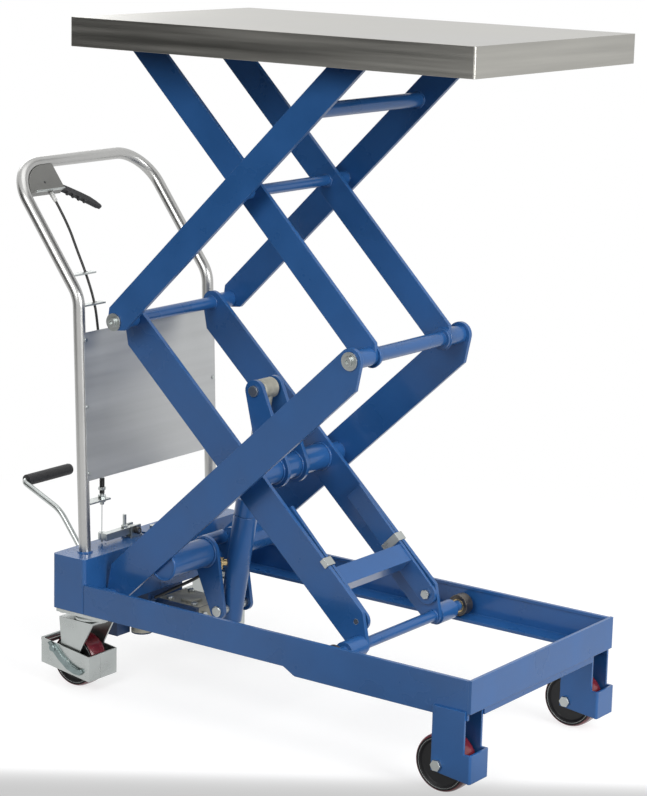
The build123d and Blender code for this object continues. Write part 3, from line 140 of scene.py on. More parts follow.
class Nodes:
    """Small helper that adds and links the nodes of one material."""

    def __init__(self, name):
        self.material = bpy.data.materials.new(name)
        self.material.use_nodes = True
        self.tree = self.material.node_tree
        self.shader = self.tree.nodes["Principled BSDF"]
        self.place = self.add("ShaderNodeTexCoord").outputs["Object"]

    def add(self, kind, **inputs):
        node = self.tree.nodes.new(kind)
        for key, value in inputs.items():
            self.feed(node.inputs[key.replace("_", " ")], value)
        return node

    def feed(self, socket, value):
        if hasattr(value, "is_output"):
            self.tree.links.new(value, socket)
        else:
            socket.default_value = value

    def noise(self, scale, detail, stretch):
        mapping = self.add("ShaderNodeMapping", Vector=self.place, Scale=stretch)
        place = mapping.outputs[0]
        noise = self.add("ShaderNodeTexNoise", Vector=place, Scale=scale, Detail=detail)
        return noise.outputs["Fac"]

    def ramp(self, value, start, end, low=0.0, high=1.0):
        """Goes from low at start to high at end, and stays flat outside."""
        node = self.add("ShaderNodeMapRange", Value=value)
        node.inputs["From Min"].default_value = start
        node.inputs["From Max"].default_value = end
        node.inputs["To Min"].default_value = low
        node.inputs["To Max"].default_value = high
        return node.outputs[0]

    def spread(self, noise, low, high):
        """Takes the middle band of a noise, where most of it lies, to low and high."""
        return self.ramp(noise, *NOISE_BAND, low, high)

    def blend(self, share, first, second):
        """Mixes two colours."""
        node = self.tree.nodes.new("ShaderNodeMix")
        node.data_type = "RGBA"
        colours = [socket for socket in node.inputs if socket.type == "RGBA"]
        self.feed(node.inputs[0], share)
        self.feed(colours[0], first)
        self.feed(colours[1], second)
        return [socket for socket in node.outputs if socket.type == "RGBA"][0]

    def math(self, operation, first, second):
        node = self.tree.nodes.new("ShaderNodeMath")
        node.operation = operation
        self.feed(node.inputs[0], first)
        self.feed(node.inputs[1], second)
        return node.outputs[0]

    def dot(self, first, second):
        node = self.tree.nodes.new("ShaderNodeVectorMath")
        node.operation = "DOT_PRODUCT"
        self.feed(node.inputs[0], first)
        self.feed(node.inputs[1], second)
        return node.outputs["Value"]

    def length(self, vector):
        node = self.tree.nodes.new("ShaderNodeVectorMath")
        node.operation = "LENGTH"
        self.feed(node.inputs[0], vector)
        return node.outputs["Value"]

    def mix_shaders(self, share, first, second):
        node = self.tree.nodes.new("ShaderNodeMixShader")
        for socket, value in zip(node.inputs, (share, first, second)):
            self.feed(socket, value)
        return node.outputs[0]

    def edge_mask(self, radius):
        """A rounded normal, and a mask of the edges: where it leaves the face's own normal."""
        bevel = self.tree.nodes.new("ShaderNodeBevel")
        bevel.samples = 6
        bevel.inputs["Radius"].default_value = radius
        flat = self.add("ShaderNodeNewGeometry").outputs["Normal"]
        return bevel.outputs[0], self.ramp(self.dot(bevel.outputs[0], flat), *EDGE_BAND)


def shade(colour, factor):
    return tuple(min(1.0, value * factor) for value in colour) + (1.0,)


def surface(name, colour, metal=0.0, rough=0.4, vary=0.08, tint=0.08, scale=180.0,
            stretch=(1, 1, 1), bump=0.1, bump_scale=900.0, edge=0.0012, edge_sheen_and_wear=0.0,
            edge_sheen_and_wear_colour=None, coat=0.0, coat_rough=0.1, ior=1.5):
    """A procedural finish: colour and roughness drift, fine bump, rounded edges with a lighter
    colour at the rims, partly painted edge highlight and partly wear.
    """
    n = Nodes(name)
    drift = n.noise(scale, 4.0, stretch)
    base = n.blend(n.spread(drift, 0.0, 1.0), shade(colour, 1 - tint), shade(colour, 1 + tint))
    rounded = None
    if edge:
        rounded, mask = n.edge_mask(edge)
        # Lighter colour along the edges: a painted edge highlight, with some wear.
        if edge_sheen_and_wear:
            edge_sheen_and_wear_tone = shade(edge_sheen_and_wear_colour or colour, 1.0)
            base = n.blend(n.math("MULTIPLY", mask, edge_sheen_and_wear), base, edge_sheen_and_wear_tone)
    n.feed(n.shader.inputs["Base Color"], base)
    n.feed(n.shader.inputs["Roughness"], n.spread(drift, rough - vary, rough + vary))
    n.shader.inputs["Metallic"].default_value = metal
    n.shader.inputs["IOR"].default_value = ior
    n.shader.inputs["Coat Weight"].default_value = coat
    n.shader.inputs["Coat Roughness"].default_value = coat_rough
    grain = n.noise(bump_scale, 3.0, stretch)
    lift = n.add("ShaderNodeBump", Height=grain, Strength=bump, Distance=0.0004)
    if rounded is not None:
        n.feed(lift.inputs["Normal"], rounded)
    n.feed(n.shader.inputs["Normal"], lift.outputs[0])
    return n.material


def make_finishes():
    return {
        # The lighter edge colours given below are painted edge highlights, with some wear.
        "blue_paint": surface(
            "blue_paint", (0.0205, 0.098, 0.285), rough=0.30, vary=0.06, tint=0.09, scale=11,
            bump=0.10, bump_scale=1300, edge=0.0016, edge_sheen_and_wear=0.4,
            edge_sheen_and_wear_colour=(0.07, 0.19, 0.42), coat=0.25, coat_rough=0.10, ior=1.38),
        "dark_paint": surface(
            "dark_paint", (0.014, 0.045, 0.125), rough=0.4, tint=0.15, scale=30, bump=0.25,
            bump_scale=700, edge=0.0012, edge_sheen_and_wear=0.3, edge_sheen_and_wear_colour=(0.05, 0.1, 0.22), ior=1.38),
        "bright_tube": surface(
            "bright_tube", (0.44, 0.44, 0.43), metal=1.0, rough=0.31, vary=0.03, tint=0.05,
            scale=9, bump=0.02, bump_scale=1500, edge=0.0),
        "stainless_sheet": surface(
            "stainless_sheet", (0.385, 0.378, 0.35), metal=1.0, rough=0.33, vary=0.05,
            tint=0.10, scale=75, stretch=(0.03, 0.03, 1), bump=0.10, bump_scale=700,
            edge=0.0010, edge_sheen_and_wear=0.2),
        "zinc_plate": surface(
            "zinc_plate", (0.44, 0.465, 0.455), metal=1.0, rough=0.32, vary=0.07, tint=0.12,
            scale=16, bump=0.06, bump_scale=600, edge=0.0009, edge_sheen_and_wear=0.3,
            edge_sheen_and_wear_colour=(0.72, 0.73, 0.72)),
        "polished_rod": surface(
            "polished_rod", (0.72, 0.72, 0.74), metal=1.0, rough=0.12, vary=0.03, tint=0.03,
            scale=200, stretch=(1, 1, 0.1), bump=0.03, edge=0.0006),
        "black_plastic": surface(
            "black_plastic", (0.012, 0.012, 0.013), rough=0.45, tint=0.2, scale=160,
            bump=0.2, bump_scale=1500, edge=0.0014),
        "hub_plastic": surface(
            "hub_plastic", (0.008, 0.008, 0.009), rough=0.42, tint=0.25, scale=120,
            bump=0.12, bump_scale=1100, edge=0.0008, ior=1.4),
        "red_polyurethane": surface(
            "red_polyurethane", (0.165, 0.013, 0.022), rough=0.24, vary=0.06, tint=0.18,
            scale=60, bump=0.10, bump_scale=500, edge=0.0, coat=0.2, coat_rough=0.15),
        "rubber_grip": surface(
            "rubber_grip", (0.024, 0.024, 0.026), rough=0.55, tint=0.25, scale=220,
            bump=0.35, bump_scale=1800, edge=0.0006),
        "hose_rubber": surface(
            "hose_rubber", (0.008, 0.008, 0.008), rough=0.38, tint=0.2, scale=300,
            bump=0.3, bump_scale=2200, edge=0.0),
        "steel_roller": surface(
            "steel_roller", (0.11, 0.10, 0.09), metal=0.85, rough=0.36, vary=0.1,
            tint=0.2, scale=150, bump=0.2, bump_scale=900, edge=0.0010),
        "brass_fitting": surface(
            "brass_fitting", (0.55, 0.42, 0.22), metal=1.0, rough=0.3, vary=0.08, tint=0.1,
            scale=150, bump=0.12, bump_scale=900, edge=0.0007),
        "panel_sheet": surface(
            "panel_sheet", (0.46, 0.47, 0.475), metal=1.0, rough=0.42, vary=0.04,
            tint=0.06, scale=60, stretch=(1, 0.04, 1), bump=0.08, bump_scale=700,
            edge=0.0012),
        "bracket_grey": surface(
            "bracket_grey", (0.20, 0.20, 0.19), metal=0.7, rough=0.42, vary=0.05, tint=0.06,
            scale=30, bump=0.05, bump_scale=900, edge=0.0010, edge_sheen_and_wear=0.4,
            edge_sheen_and_wear_colour=(0.4, 0.4, 0.39)),
        "cast_zinc": surface(
            "cast_zinc", (0.40, 0.39, 0.33), metal=0.6, rough=0.5, vary=0.08, tint=0.15,
            scale=70, bump=0.4, bump_scale=500, edge=0.0012),
        "brake_steel": surface(
            "brake_steel", (0.20, 0.25, 0.25), metal=0.9, rough=0.30, vary=0.08, tint=0.2,
            scale=60, bump=0.05, bump_scale=400, edge=0.0006, edge_sheen_and_wear=0.4,
            edge_sheen_and_wear_colour=(0.5, 0.55, 0.55)),
        "clear_nylon": surface(
            "clear_nylon", (0.62, 0.62, 0.60), rough=0.3, vary=0.05, tint=0.06, scale=120,
            bump=0.1, bump_scale=900, edge=0.0006),
    }


OWN_FINISH = {"handle_panel": "panel_sheet", "lever_bracket": "bracket_grey"}


def dress_cad_nodes():
    """Gives every CAD node the finish of its material slot, or its own finish."""
    for entry in frame["record"]["subparts"]:
        node = frame["nodes"][entry["node"]]
        finish = OWN_FINISH.get(entry["node"], entry["material_slot"])
        for place in node.material_slots:
            place.material = FINISH[finish]


# ---- Mesh helpers ----
def finish_mesh(name, bm, slot, body, sharp=32.0, material=None):
    """Turns a bmesh into a piece: smooth up to the sharp angle, with its slot and its body."""
    bmesh.ops.recalc_face_normals(bm, faces=bm.faces)
    for face in bm.faces:
        face.smooth = True
    for edge in bm.edges:
        edge.smooth = len(edge.link_faces) == 2 and edge.calc_face_angle(0) < radians(sharp)
    mesh = bpy.data.meshes.new(name)
    bm.to_mesh(mesh)
    bm.free()
    piece = bpy.data.objects.new(name, mesh)
    SCENE.collection.objects.link(piece)
    mesh.materials.append(material or FINISH[slot])
    if body:
        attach(piece, body)
    return piece


def turning(axis):
    """Two directions square to an axis."""
    axis = axis.normalized()
    across = axis.orthogonal().normalized()
    return across, axis.cross(across)


def add_lathe(bm, profile, origin, axis, steps, ring=False):
    """Turns a profile of (radius, place along the axis) pairs, in mm, round an axis.

    It is closed where the profile's ends lie on the axis or on one point, or with ring.
    """
    across, over = turning(axis)
    along = axis.normalized()
    rings = []
    for radius, place in profile:
        centre = origin + along * (place * MM)
        if radius <= 0:
            rings.append([bm.verts.new(centre)])
            continue
        turns = [2 * pi * k / steps for k in range(steps)]
        rings.append([
            bm.verts.new(centre + (across * cos(a) + over * sin(a)) * (radius * MM)) for a in turns
        ])
    pairs = list(zip(rings, rings[1:]))
    if ring:
        pairs.append((rings[-1], rings[0]))
    for first, second in pairs:
        for k in range(steps):
            after = (k + 1) % steps
            corners = [first[k % len(first)], first[after % len(first)],
                       second[after % len(second)], second[k % len(second)]]
            unique = list(dict.fromkeys(corners))
            if len(unique) > 2:
                bm.faces.new(unique)


def lathe(name, profile, origin, axis, slot, body, steps):
    bm = bmesh.new()
    add_lathe(bm, profile, origin, axis, steps)
    return finish_mesh(name, bm, slot, body)


def rounded(corners, radius, steps=4):
    """A profile with its inner corners rounded, and its two ends kept."""
    out = [corners[0]]
    for before, here, after in zip(corners, corners[1:], corners[2:]):
        b, h, a = Vector(before), Vector(here), Vector(after)
        reach = min(radius, (b - h).length * 0.45, (a - h).length * 0.45)
        start, end = h + (b - h).normalized() * reach, h + (a - h).normalized() * reach
        for k in range(steps + 1):
            t = k / steps
            point = start.lerp(h, t).lerp(h.lerp(end, t), t)
            out.append((point.x, point.y))
    out.append(corners[-1])
    return out


def add_nut(bm, origin, axis, across_flats, height):
    """A hexagon head with chamfered corners."""
    corner_r = across_flats / 2 / cos(pi / 6)
    flat_r = across_flats / 2
    chamfer = 0.08 * across_flats
    first, second = turning(axis)
    along = axis.normalized()
    steps = 36
    rings = []
    levels = ((0, flat_r * 1.02), (chamfer * 0.5, corner_r * 1.01),
              (height - chamfer * 0.5, corner_r * 1.01), (height, flat_r))
    for place, limit in levels:
        ring = []
        for k in range(steps):
            angle = 2 * pi * k / steps
            local = angle % (pi / 3) - pi / 6
            radius = min(flat_r / cos(local), limit) * MM
            spoke = (first * cos(angle) + second * sin(angle)) * radius
            ring.append(bm.verts.new(origin + along * (place * MM) + spoke))
        rings.append(ring)
    for low, high in zip(rings, rings[1:]):
        for k in range(steps):
            bm.faces.new((low[k], low[(k + 1) % steps], high[(k + 1) % steps], high[k]))
    bm.faces.new(rings[0])
    bm.faces.new(rings[-1])


BEAD_RIPPLE, BEAD_PITCH, BEAD_SIDES = 0.16, 3.2, 8


def add_bead(bm, points, radius, closed=False, ripple=BEAD_RIPPLE, sides=BEAD_SIDES):
    """A weld bead, or a plain rod without ripples: points in metres, radius in mm."""
    count = len(points)
    rings = []
    travelled = 0.0
    for k, point in enumerate(points):
        after = points[(k + 1) % count] if closed or k < count - 1 else point
        before = points[k - 1] if closed or k > 0 else point
        heading = (after - before).normalized()
        first, second = turning(heading)
        if rings:
            first = (first_before - heading * first_before.dot(heading)).normalized()
            second = heading.cross(first)
        first_before = first
        size = radius * MM * (1 + ripple * sin(2 * pi * travelled / (BEAD_PITCH * MM)))
        rings.append([
            bm.verts.new(point + (first * cos(a) + second * sin(a)) * size)
            for a in (2 * pi * i / sides for i in range(sides))
        ])
        travelled += (after - point).length
    pairs = list(zip(rings, rings[1:]))
    if closed:
        pairs.append((rings[-1], rings[0]))
    else:
        bm.faces.new(rings[0])
        bm.faces.new(rings[-1])
    for low, high in pairs:
        for i in range(sides):
            bm.faces.new((low[i], low[(i + 1) % sides], high[(i + 1) % sides], high[i]))


def bead_ring(bm, x, z, radius, y, bead):
    """A weld bead round a tube or a pin that lies along Y."""
    across, over = turning(Y_AXIS)
    count = max(48, int(radius * 4))
    points = [
        at(x, y, z) + (across * cos(a) + over * sin(a)) * (radius * MM)
        for a in (2 * pi * k / count for k in range(count))
    ]
    add_bead(bm, points, bead, closed=True)


def bead_line(bm, start, end, bead):
    """A straight weld bead."""
    length = (end - start).length
    count = max(4, int(length / MM / 1.1))
    add_bead(bm, [start.lerp(end, k / count) for k in range(count + 1)], bead)


# ---- Cords ----
CABLE_ROUTE = [corner(CABLE_U, 82.0), corner(CABLE_U, 132.0)] + [at(*p) for p in (
    (-131, -123, 794), (-107.5, -125, 754.5), (-85, -125.5, 703), (-77, -125, 652),
    (-72, -124, 600), (-70, -122.5, 545), (-69.5, -121, 490), (-70, -120, 434),
    (-70, -120, 378),
)]
CABLE_D = 0.0048
HOSE_ROUTE = [at(*p) for p in (
    (127, -23, 229), (104, -26, 209.5), (79, -28, 191.5), (52, -32, 175.5),
    (27, -36, 161), (7, -39, 148.5), (-7, -40, 141),
)]
HOSE_D = 0.006


def nurbs(name, route, diameter=0.0):
    """A smooth curve that starts and ends at the route's own ends, round where it has a size."""
    curve = bpy.data.curves.new(name, "CURVE")
    curve.dimensions = "3D"
    curve.resolution_u = 12
    spline = curve.splines.new("NURBS")
    spline.points.add(len(route) - 1)
    for point, place in zip(spline.points, route):
        point.co = (*place, 1.0)
    spline.order_u = 3
    spline.use_endpoint_u = True
    curve.bevel_depth = diameter / 2
    curve.bevel_resolution = 6
    curve.use_fill_caps = diameter > 0
    piece = bpy.data.objects.new(name, curve)
    SCENE.collection.objects.link(piece)
    return piece


def line_of(route):
    """Points read along the smooth line of a route."""
    bare = nurbs("route", route)
    bpy.context.view_layer.update()
    mesh = bpy.data.meshes.new_from_object(bare)
    points = [vertex.co.copy() for vertex in mesh.vertices]
    bpy.data.objects.remove(bare)
    bpy.data.meshes.remove(mesh)
    return points


def length_of(points):
    return sum((b - a).length for a, b in zip(points, points[1:]))


def add_cable():
    cable = nurbs("release_cable", CABLE_ROUTE, CABLE_D)
    cable.data.materials.append(FINISH["hose_rubber"])
    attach(cable, "base")
    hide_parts("cable_sheath")
    length = length_of(line_of(CABLE_ROUTE))


def hose_half(name, points):
    """One half of the hose, swept as a plain tube and baked into place."""
    bm = bmesh.new()
    add_bead(bm, points, HOSE_D / 2 / MM, ripple=0.0)
    piece = finish_mesh(name, bm, "hose_rubber", None, 60.0)
    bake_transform(piece)
    return piece


def add_hose():
    points = line_of(HOSE_ROUTE)[::-1]
    middle = len(points) // 2
    lower = hose_half("pump_hose_lower", points[:middle + 1])
    hose_half("pump_hose_upper", points[middle:])
    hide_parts("hydraulic_hose")


# ---- Wheels ----
def add_wheel(kind, side, axle, body):
    """Glossy tyre with a crowned tread on a dark hub, which has a light ring and an axle seal."""
    origin = at(axle[0], axle[1], WHEEL_R)
    half, edge = WHEEL_HALF, WHEEL_R
    tread = [(HUB_R, -half), (HUB_R + 0.8, -half), (edge - 0.8, -half + 5.0), (edge, 0),
             (edge - 0.8, half - 5.0), (HUB_R + 0.8, half), (HUB_R, half)]
    tread_profile = rounded(tread, 6.0, 6) + [(HUB_R, -half)]
    tyre = lathe(f"{kind}_tyre_{side}", tread_profile, origin, Y_AXIS, "red_polyurethane", body, 96)
    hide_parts(f"{kind}_tread_{side}")
    face = [(AXLE_BORE_R, half), (15.5, half), (17, half - 1.0), (19, half - 5.4),
            (38, half - 5.0), (40.4, half - 1.2), (41.6, half), (43.6, half), (44.0, half - 0.8),
            (44.6, half - 0.8), (45.0, half), (HUB_R, half)]
    back = [(radius, -place) for radius, place in reversed(face)]
    hub_profile = rounded(face + back, 0.7, 2) + [(AXLE_BORE_R, half)]
    hub = lathe(f"{kind}_wheel_hub_{side}", hub_profile, origin, Y_AXIS, "hub_plastic", body, 96)
    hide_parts(f"{kind}_hub_{side}")
    rim = [(42.5, half - 0.3), (42.7, half + 0.1), (43.1, half + 0.1), (43.3, half - 0.3)]
    seal = [(6.6, half - 0.4), (7.4, half + 0.25), (13.4, half + 0.25), (14.2, half - 0.4)]
    bm = bmesh.new()
    for sign in (-1, 1):
        add_lathe(bm, rim + [rim[0]], origin, Y_AXIS * sign, 96)
        add_lathe(bm, seal + [seal[0]], origin, Y_AXIS * sign, 48)
    finish_mesh(f"{kind}_wheel_rings_{side}", bm, "zinc_plate", body)


def add_wheels():
    for side, sign in SIDES:
        add_wheel("front", side, (FRONT_AXLE[0], sign * FRONT_AXLE[1]), f"front_wheel_{side}")
        add_wheel("caster", side, (CASTER_AXLE[0], sign * CASTER_AXLE[1]), f"caster_wheel_{side}")


# ---- Cylinder, pump and small fittings ----
ROD_R, ROD_COLLAR_R, NECK_R, EYE_R = 12.5, 16.5, 16.0, 18.8
ROD_FOOT, ROD_COLLAR_TOP = 176.0, 181.0


def add_cylinder_rod():
    """Polished rod with a collar at its foot, and a cast eye between the lift lugs."""
    foot, head = at(CYL_FOOT[0], 0, CYL_FOOT[1]), at(CYL_HEAD[0], 0, CYL_HEAD[1])
    along = (head - foot).normalized()
    length = (head - foot).length / MM
    rod_top, neck_foot, neck_top = length - 30, length - 40, length - 8
    profile = [(0, ROD_FOOT), (ROD_COLLAR_R, ROD_FOOT), (ROD_COLLAR_R, ROD_COLLAR_TOP),
               (ROD_R, ROD_COLLAR_TOP), (ROD_R, rod_top), (0, rod_top)]
    rod = lathe("lift_rod", profile, foot, along, "polished_rod", "rod", 48)
    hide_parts("cylinder_rod")
    bm = bmesh.new()
    neck = [(0, neck_foot), (NECK_R - 1.4, neck_foot), (NECK_R, neck_foot + 1.5),
            (NECK_R, neck_top), (0, neck_top)]
    add_lathe(bm, neck, foot, along, 48)
    face = [(0, 0), (EYE_R, 0), (EYE_R, 17.4), (17.0, 19.6), (12.2, 19.6), (11.4, 18.8), (0, 18.8)]
    for sign in (-1, 1):
        add_lathe(bm, face, head, Y_AXIS * sign, 64)
    finish_mesh("lift_rod_eye", bm, "zinc_plate", "rod", material=FINISH["cast_zinc"])


RIB_R, RIB_GROOVE_R, RIB_PITCH = 11.1, 10.6, 4.4
RIBS_START, RIBS_END = -53.0, 56.0


def add_pedal_grip():
    """Ribbed rubber grip with a rounded end."""
    profile = [(0, -57), (10.2, -57), (11.0, -56.2)]
    place = RIBS_START
    while place < RIBS_END:
        profile += [(RIB_R, place), (RIB_R, place + 2.6), (RIB_GROOVE_R, place + 3.1),
                    (RIB_GROOVE_R, place + 3.9)]
        place += RIB_PITCH
    profile += [(RIB_R, 58), (RIB_R, 63), (10.2, 66.4), (7.0, 68.2), (0, 68.6)]
    grip = lathe("pedal_grip_ribbed", profile, at(*PEDAL_GRIP), Y_AXIS, "rubber_grip", "pedal", 48)
    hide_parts("pedal_grip")


def rounded_box(bm, low, high, radius):
    """A box between two corners with all its edges rounded."""
    centre, size = (low + high) / 2, high - low
    matrix = Matrix.Translation(centre) @ Matrix.Diagonal((*size, 1))
    made = bmesh.ops.create_cube(bm, size=1.0, matrix=matrix)
    edges = list(dict.fromkeys(edge for vert in made["verts"] for edge in vert.link_edges))
    bmesh.ops.bevel(bm, geom=edges, offset=radius * MM, segments=3, profile=0.5, affect="EDGES")


def add_pump_trim():
    """Bare castings on the pump, a valve block and two reservoir caps, with their bolts."""
    bm = bmesh.new()
    block_low, block_high = at(-14.8, -23.0, 99.6), at(PUMP_FRONT, 60.4, PUMP_TOP)
    boss_low, boss_high = at(33.6, -14.4, 132), at(62.4, 14.4, PUMP_TOP + 6)
    rounded_box(bm, block_low, block_high, 2.0)
    rounded_box(bm, boss_low, boss_high, 1.2)
    foot = RESERVOIR_FOOT
    cap = [(0, foot), (17, foot), (20.4, foot + 3.4), (20.4, foot + 14.4), (19.9, foot + 14.4)]
    for y in (-RESERVOIR_Y, RESERVOIR_Y):
        add_lathe(bm, cap, at(RESERVOIR_X, y, 0), Z_AXIS, 48)
    finish_mesh("pump_castings", bm, "dark_paint", "base", material=FINISH["cast_zinc"])
    bm = bmesh.new()
    top_bolts = ((8, -14), (68, -16), (8, 48), (66, 48))
    front_plugs = ((-10, 118), (24, 118))
    for x, y in top_bolts:
        add_nut(bm, at(x, y, PUMP_TOP), Z_AXIS, 11, 5)
    for y, z in front_plugs:
        add_nut(bm, at(PUMP_FRONT, y, z), X_AXIS, 14, 5)
    finish_mesh("pump_bolts", bm, "zinc_plate", "base")


def add_plate(bm, outline, place, normal, thickness, bevel):
    """A plate cut to an outline; place() turns an outline point into a point of its mid-plane."""
    half = normal.normalized() * (thickness / 2 * MM)
    low = [bm.verts.new(place(*point) - half) for point in outline]
    high = [bm.verts.new(place(*point) + half) for point in outline]
    count = len(outline)
    faces = [bm.faces.new(low), bm.faces.new(high)]
    for k in range(count):
        after = (k + 1) % count
        bm.faces.new((low[k], low[after], high[after], high[k]))
    rim = [edge for face in faces for edge in face.edges]
    bmesh.ops.bevel(bm, geom=rim, offset=bevel * MM, segments=2, profile=0.5, affect="EDGES")


LEVER_OUTLINE = (
    (76, 40), (88, 45), (100, 51), (120, 62), (140, 74), (158, 86), (168, 94), (175.5, 104),
    (176, 108), (173, 110), (166, 106), (154, 97.5), (140, 88.5), (124, 78), (108, 68),
    (99, 61), (84, 56), (76, 53),
)
LEVER_T = 9.0
FINGER_BUMPS = ((110, 70), (121, 77), (132, 84), (143, 90.5))


def add_hand_lever():
    """Slim squeeze lever with four finger bumps, in the plane of the handle's corner."""
    bm = bmesh.new()
    add_plate(bm, LEVER_OUTLINE, corner, CORNER_OUT, LEVER_T, 1.8)
    bump = [(0, -4.4), (2.4, -4.4), (3.2, -3.6), (3.2, 3.6), (2.4, 4.4), (0, 4.4)]
    for u, v in FINGER_BUMPS:
        add_lathe(bm, bump, corner(u, v), CORNER_OUT, 24)
    lever = finish_mesh("squeeze_lever_blade", bm, "rubber_grip", "squeeze_lever", 40.0)
    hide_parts("hand_lever")


def add_cable_trim():
    """Clear ferrule; a black disc as painted shade for the bracket hole; a zinc strip as painted
    highlight on the folded lip at the lever; dark thread at the adjuster.
    """
    bm = bmesh.new()
    sleeve = [(0, 0.4), (4.6, 0.4), (4.6, 8), (4.1, 9), (4.1, 16), (2.9, 20.5), (0, 20.5)]
    add_lathe(bm, rounded(sleeve, 0.6, 2), corner(CABLE_U, 64.0), LEG_DIR, 32)
    finish_mesh("cable_ferrule", bm, "bright_tube", "base", material=FINISH["clear_nylon"])
    # A black disc on the bracket's outer face: painted shade where the hole is.
    hole_shade_disc = [(0, -0.2), (2.5, -0.2), (2.5, 0.05), (0, 0.05)]
    spot = corner(57, 46) + CORNER_OUT * ((BRACKET_SKIN + 0.02) * MM)
    lathe("bracket_hole_painted_shade", hole_shade_disc, spot, CORNER_OUT, "black_plastic", "base", 24)
    # A light zinc strip along the grey bracket's lower fold: a painted highlight on the folded lip.
    bm = bmesh.new()
    lit_lip_middle = CORNER_OUT * ((BRACKET_SKIN + 1.6) * MM)
    add_plate(bm, [(22, 62.2), (97, 62.2), (97, 64.4), (22, 64.4)],
              lambda u, v: corner(u, v) + lit_lip_middle, CORNER_OUT, 6.0, 0.5)
    finish_mesh("bracket_lip_painted_highlight", bm, "zinc_plate", "base")
    root_r, crest_r, pitch = 4.2, 4.9, 1.25
    thread = [(0, ADJUSTER_FOOT)]
    place = ADJUSTER_FOOT + 0.5
    while place < ADJUSTER_TOP - 1:
        thread += [(root_r, place), (crest_r, place + 0.5), (root_r, place + 1.0)]
        place += pitch
    thread.append((0, ADJUSTER_TOP))
    lathe("adjuster_thread", thread, at(*ADJUSTER, 0), Z_AXIS, "black_plastic", "base", 24)


def add_beam_trim():
    """Two black socket screws at the beam's top, by the release lever."""
    bm = bmesh.new()
    upright = [(0, 0), (6.2, 0), (6.2, 7), (5.4, 8), (3.2, 8), (3.2, 5), (0, 5)]
    add_lathe(bm, upright, at(-49.6, 6.5, BEAM_TOP), Z_AXIS, 40)
    lying = [(0, 0), (6.6, 0), (6.6, 8), (5.8, 8.8), (3.4, 8.8), (3.4, 6), (0, 6)]
    add_lathe(bm, lying, at(-48.5, -48, BEAM_TOP + 14), X_AXIS, 40)
    finish_mesh("beam_screws", bm, "black_plastic", "base")


def add_lower_rollers():
    """Steel rollers: a dark rim with raised edges, round a bronze bush."""
    rim, bush = bmesh.new(), bmesh.new()
    half = [(BUSH_R, 1.2), (16.6, 1.2), (17.2, 0), (19.3, 0), (ROLLER_R, 0.7)]
    rim_profile = half + [(radius, ROLLER_W - place) for radius, place in reversed(half)]
    bush_profile = [(BUSH_BORE_R, 0.2), (BUSH_R, 0.2), (BUSH_R, ROLLER_W - 0.2),
                    (BUSH_BORE_R, ROLLER_W - 0.2)]
    for side in (-1, 1):
        inner = at(ROLLER_X, side * ROLLER_FACE_Y, PIN_Z)
        add_lathe(rim, rim_profile, inner, Y_AXIS * side, 72, ring=True)
        add_lathe(bush, bush_profile, inner, Y_AXIS * side, 72, ring=True)
    rims = finish_mesh("roller_rims", rim, "steel_roller", "lower_roller_pair")
    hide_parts("lower_rollers")
    finish_mesh("roller_bushes", bush, "brass_fitting", "lower_roller_pair")


ARC_STEP = 4.0


def arc_line(points, radii):
    """Points along a line whose corners are rounded to the given radii, in mm."""
    out = [points[0]]
    for before, here, after, radius in zip(points, points[1:], points[2:], radii):
        to_before, to_after = (before - here).normalized(), (after - here).normalized()
        half = to_before.angle(to_after) / 2
        middle = here + (to_before + to_after).normalized() * (radius * MM / sin(half))
        start = here + to_before * (radius * MM / tan(half))
        first = (start - middle).normalized()
        turn = pi - 2 * half
        count = max(6, int(turn * radius / ARC_STEP))
        for k in range(count + 1):
            a = turn * k / count
            spoke = first * cos(a) - to_before * sin(a)
            out.append(middle + spoke * (radius * MM))
    out.append(points[-1])
    return out


def add_handle_tube():
    """The bent handle, swept as one smooth tube."""
    side = [HANDLE_FOOT, HANDLE_BEND, HANDLE_TOP]
    points = [at(x, -HANDLE_Y, z) for x, z in side]
    points += [at(x, HANDLE_Y, z) for x, z in reversed(side)]
    bend_radii = (60.0, 75.0, 75.0, 60.0)
    bm = bmesh.new()
    add_bead(bm, arc_line(points, bend_radii), HANDLE_R, ripple=0.0, sides=48)
    tube = finish_mesh("handle_bent_tube", bm, "bright_tube", "base")
    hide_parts("handle_tube")


BRAKE_ARM = (
    (-100, 82), (-93, 86), (-82, 78), (-66, 62), (-48, 50), (-30, 44), (-20, 46), (-16, 40),
    (-22, 34), (-36, 34), (-54, 40), (-74, 54), (-90, 70),
)
BRAKE_ARM_Y, BRAKE_ARM_T = 233.4, 5.0


def add_caster_trim():
    """Ball race under each caster plate, and the brake arm across each guard."""
    race = [(0, 133), (31, 133), (34.5, 135.5), (34.5, 139), (31, 142.5), (0, 142.5)]
    rivet = [(0, 0), (6.5, 0), (6.5, 2.4), (5.2, 3.4), (0, 3.4)]
    for side, sign in SIDES:
        lathe(f"caster_race_{side}", race, at(SWIVEL_X, sign * CASTER_AXLE[1], 0), Z_AXIS,
              "zinc_plate", f"caster_{side}", 64)
        outward = Y_AXIS * sign
        bm = bmesh.new()
        add_plate(bm, BRAKE_ARM, lambda x, z, y=sign * BRAKE_ARM_Y: at(x, y, z), outward,
                  BRAKE_ARM_T, 1.2)
        add_lathe(bm, rivet, at(-87, sign * (BRAKE_ARM_Y + BRAKE_ARM_T / 2), 74), outward, 32)
        finish_mesh(f"brake_arm_{side}", bm, "zinc_plate", f"foot_guard_{side}",
                    material=FINISH["brake_steel"])


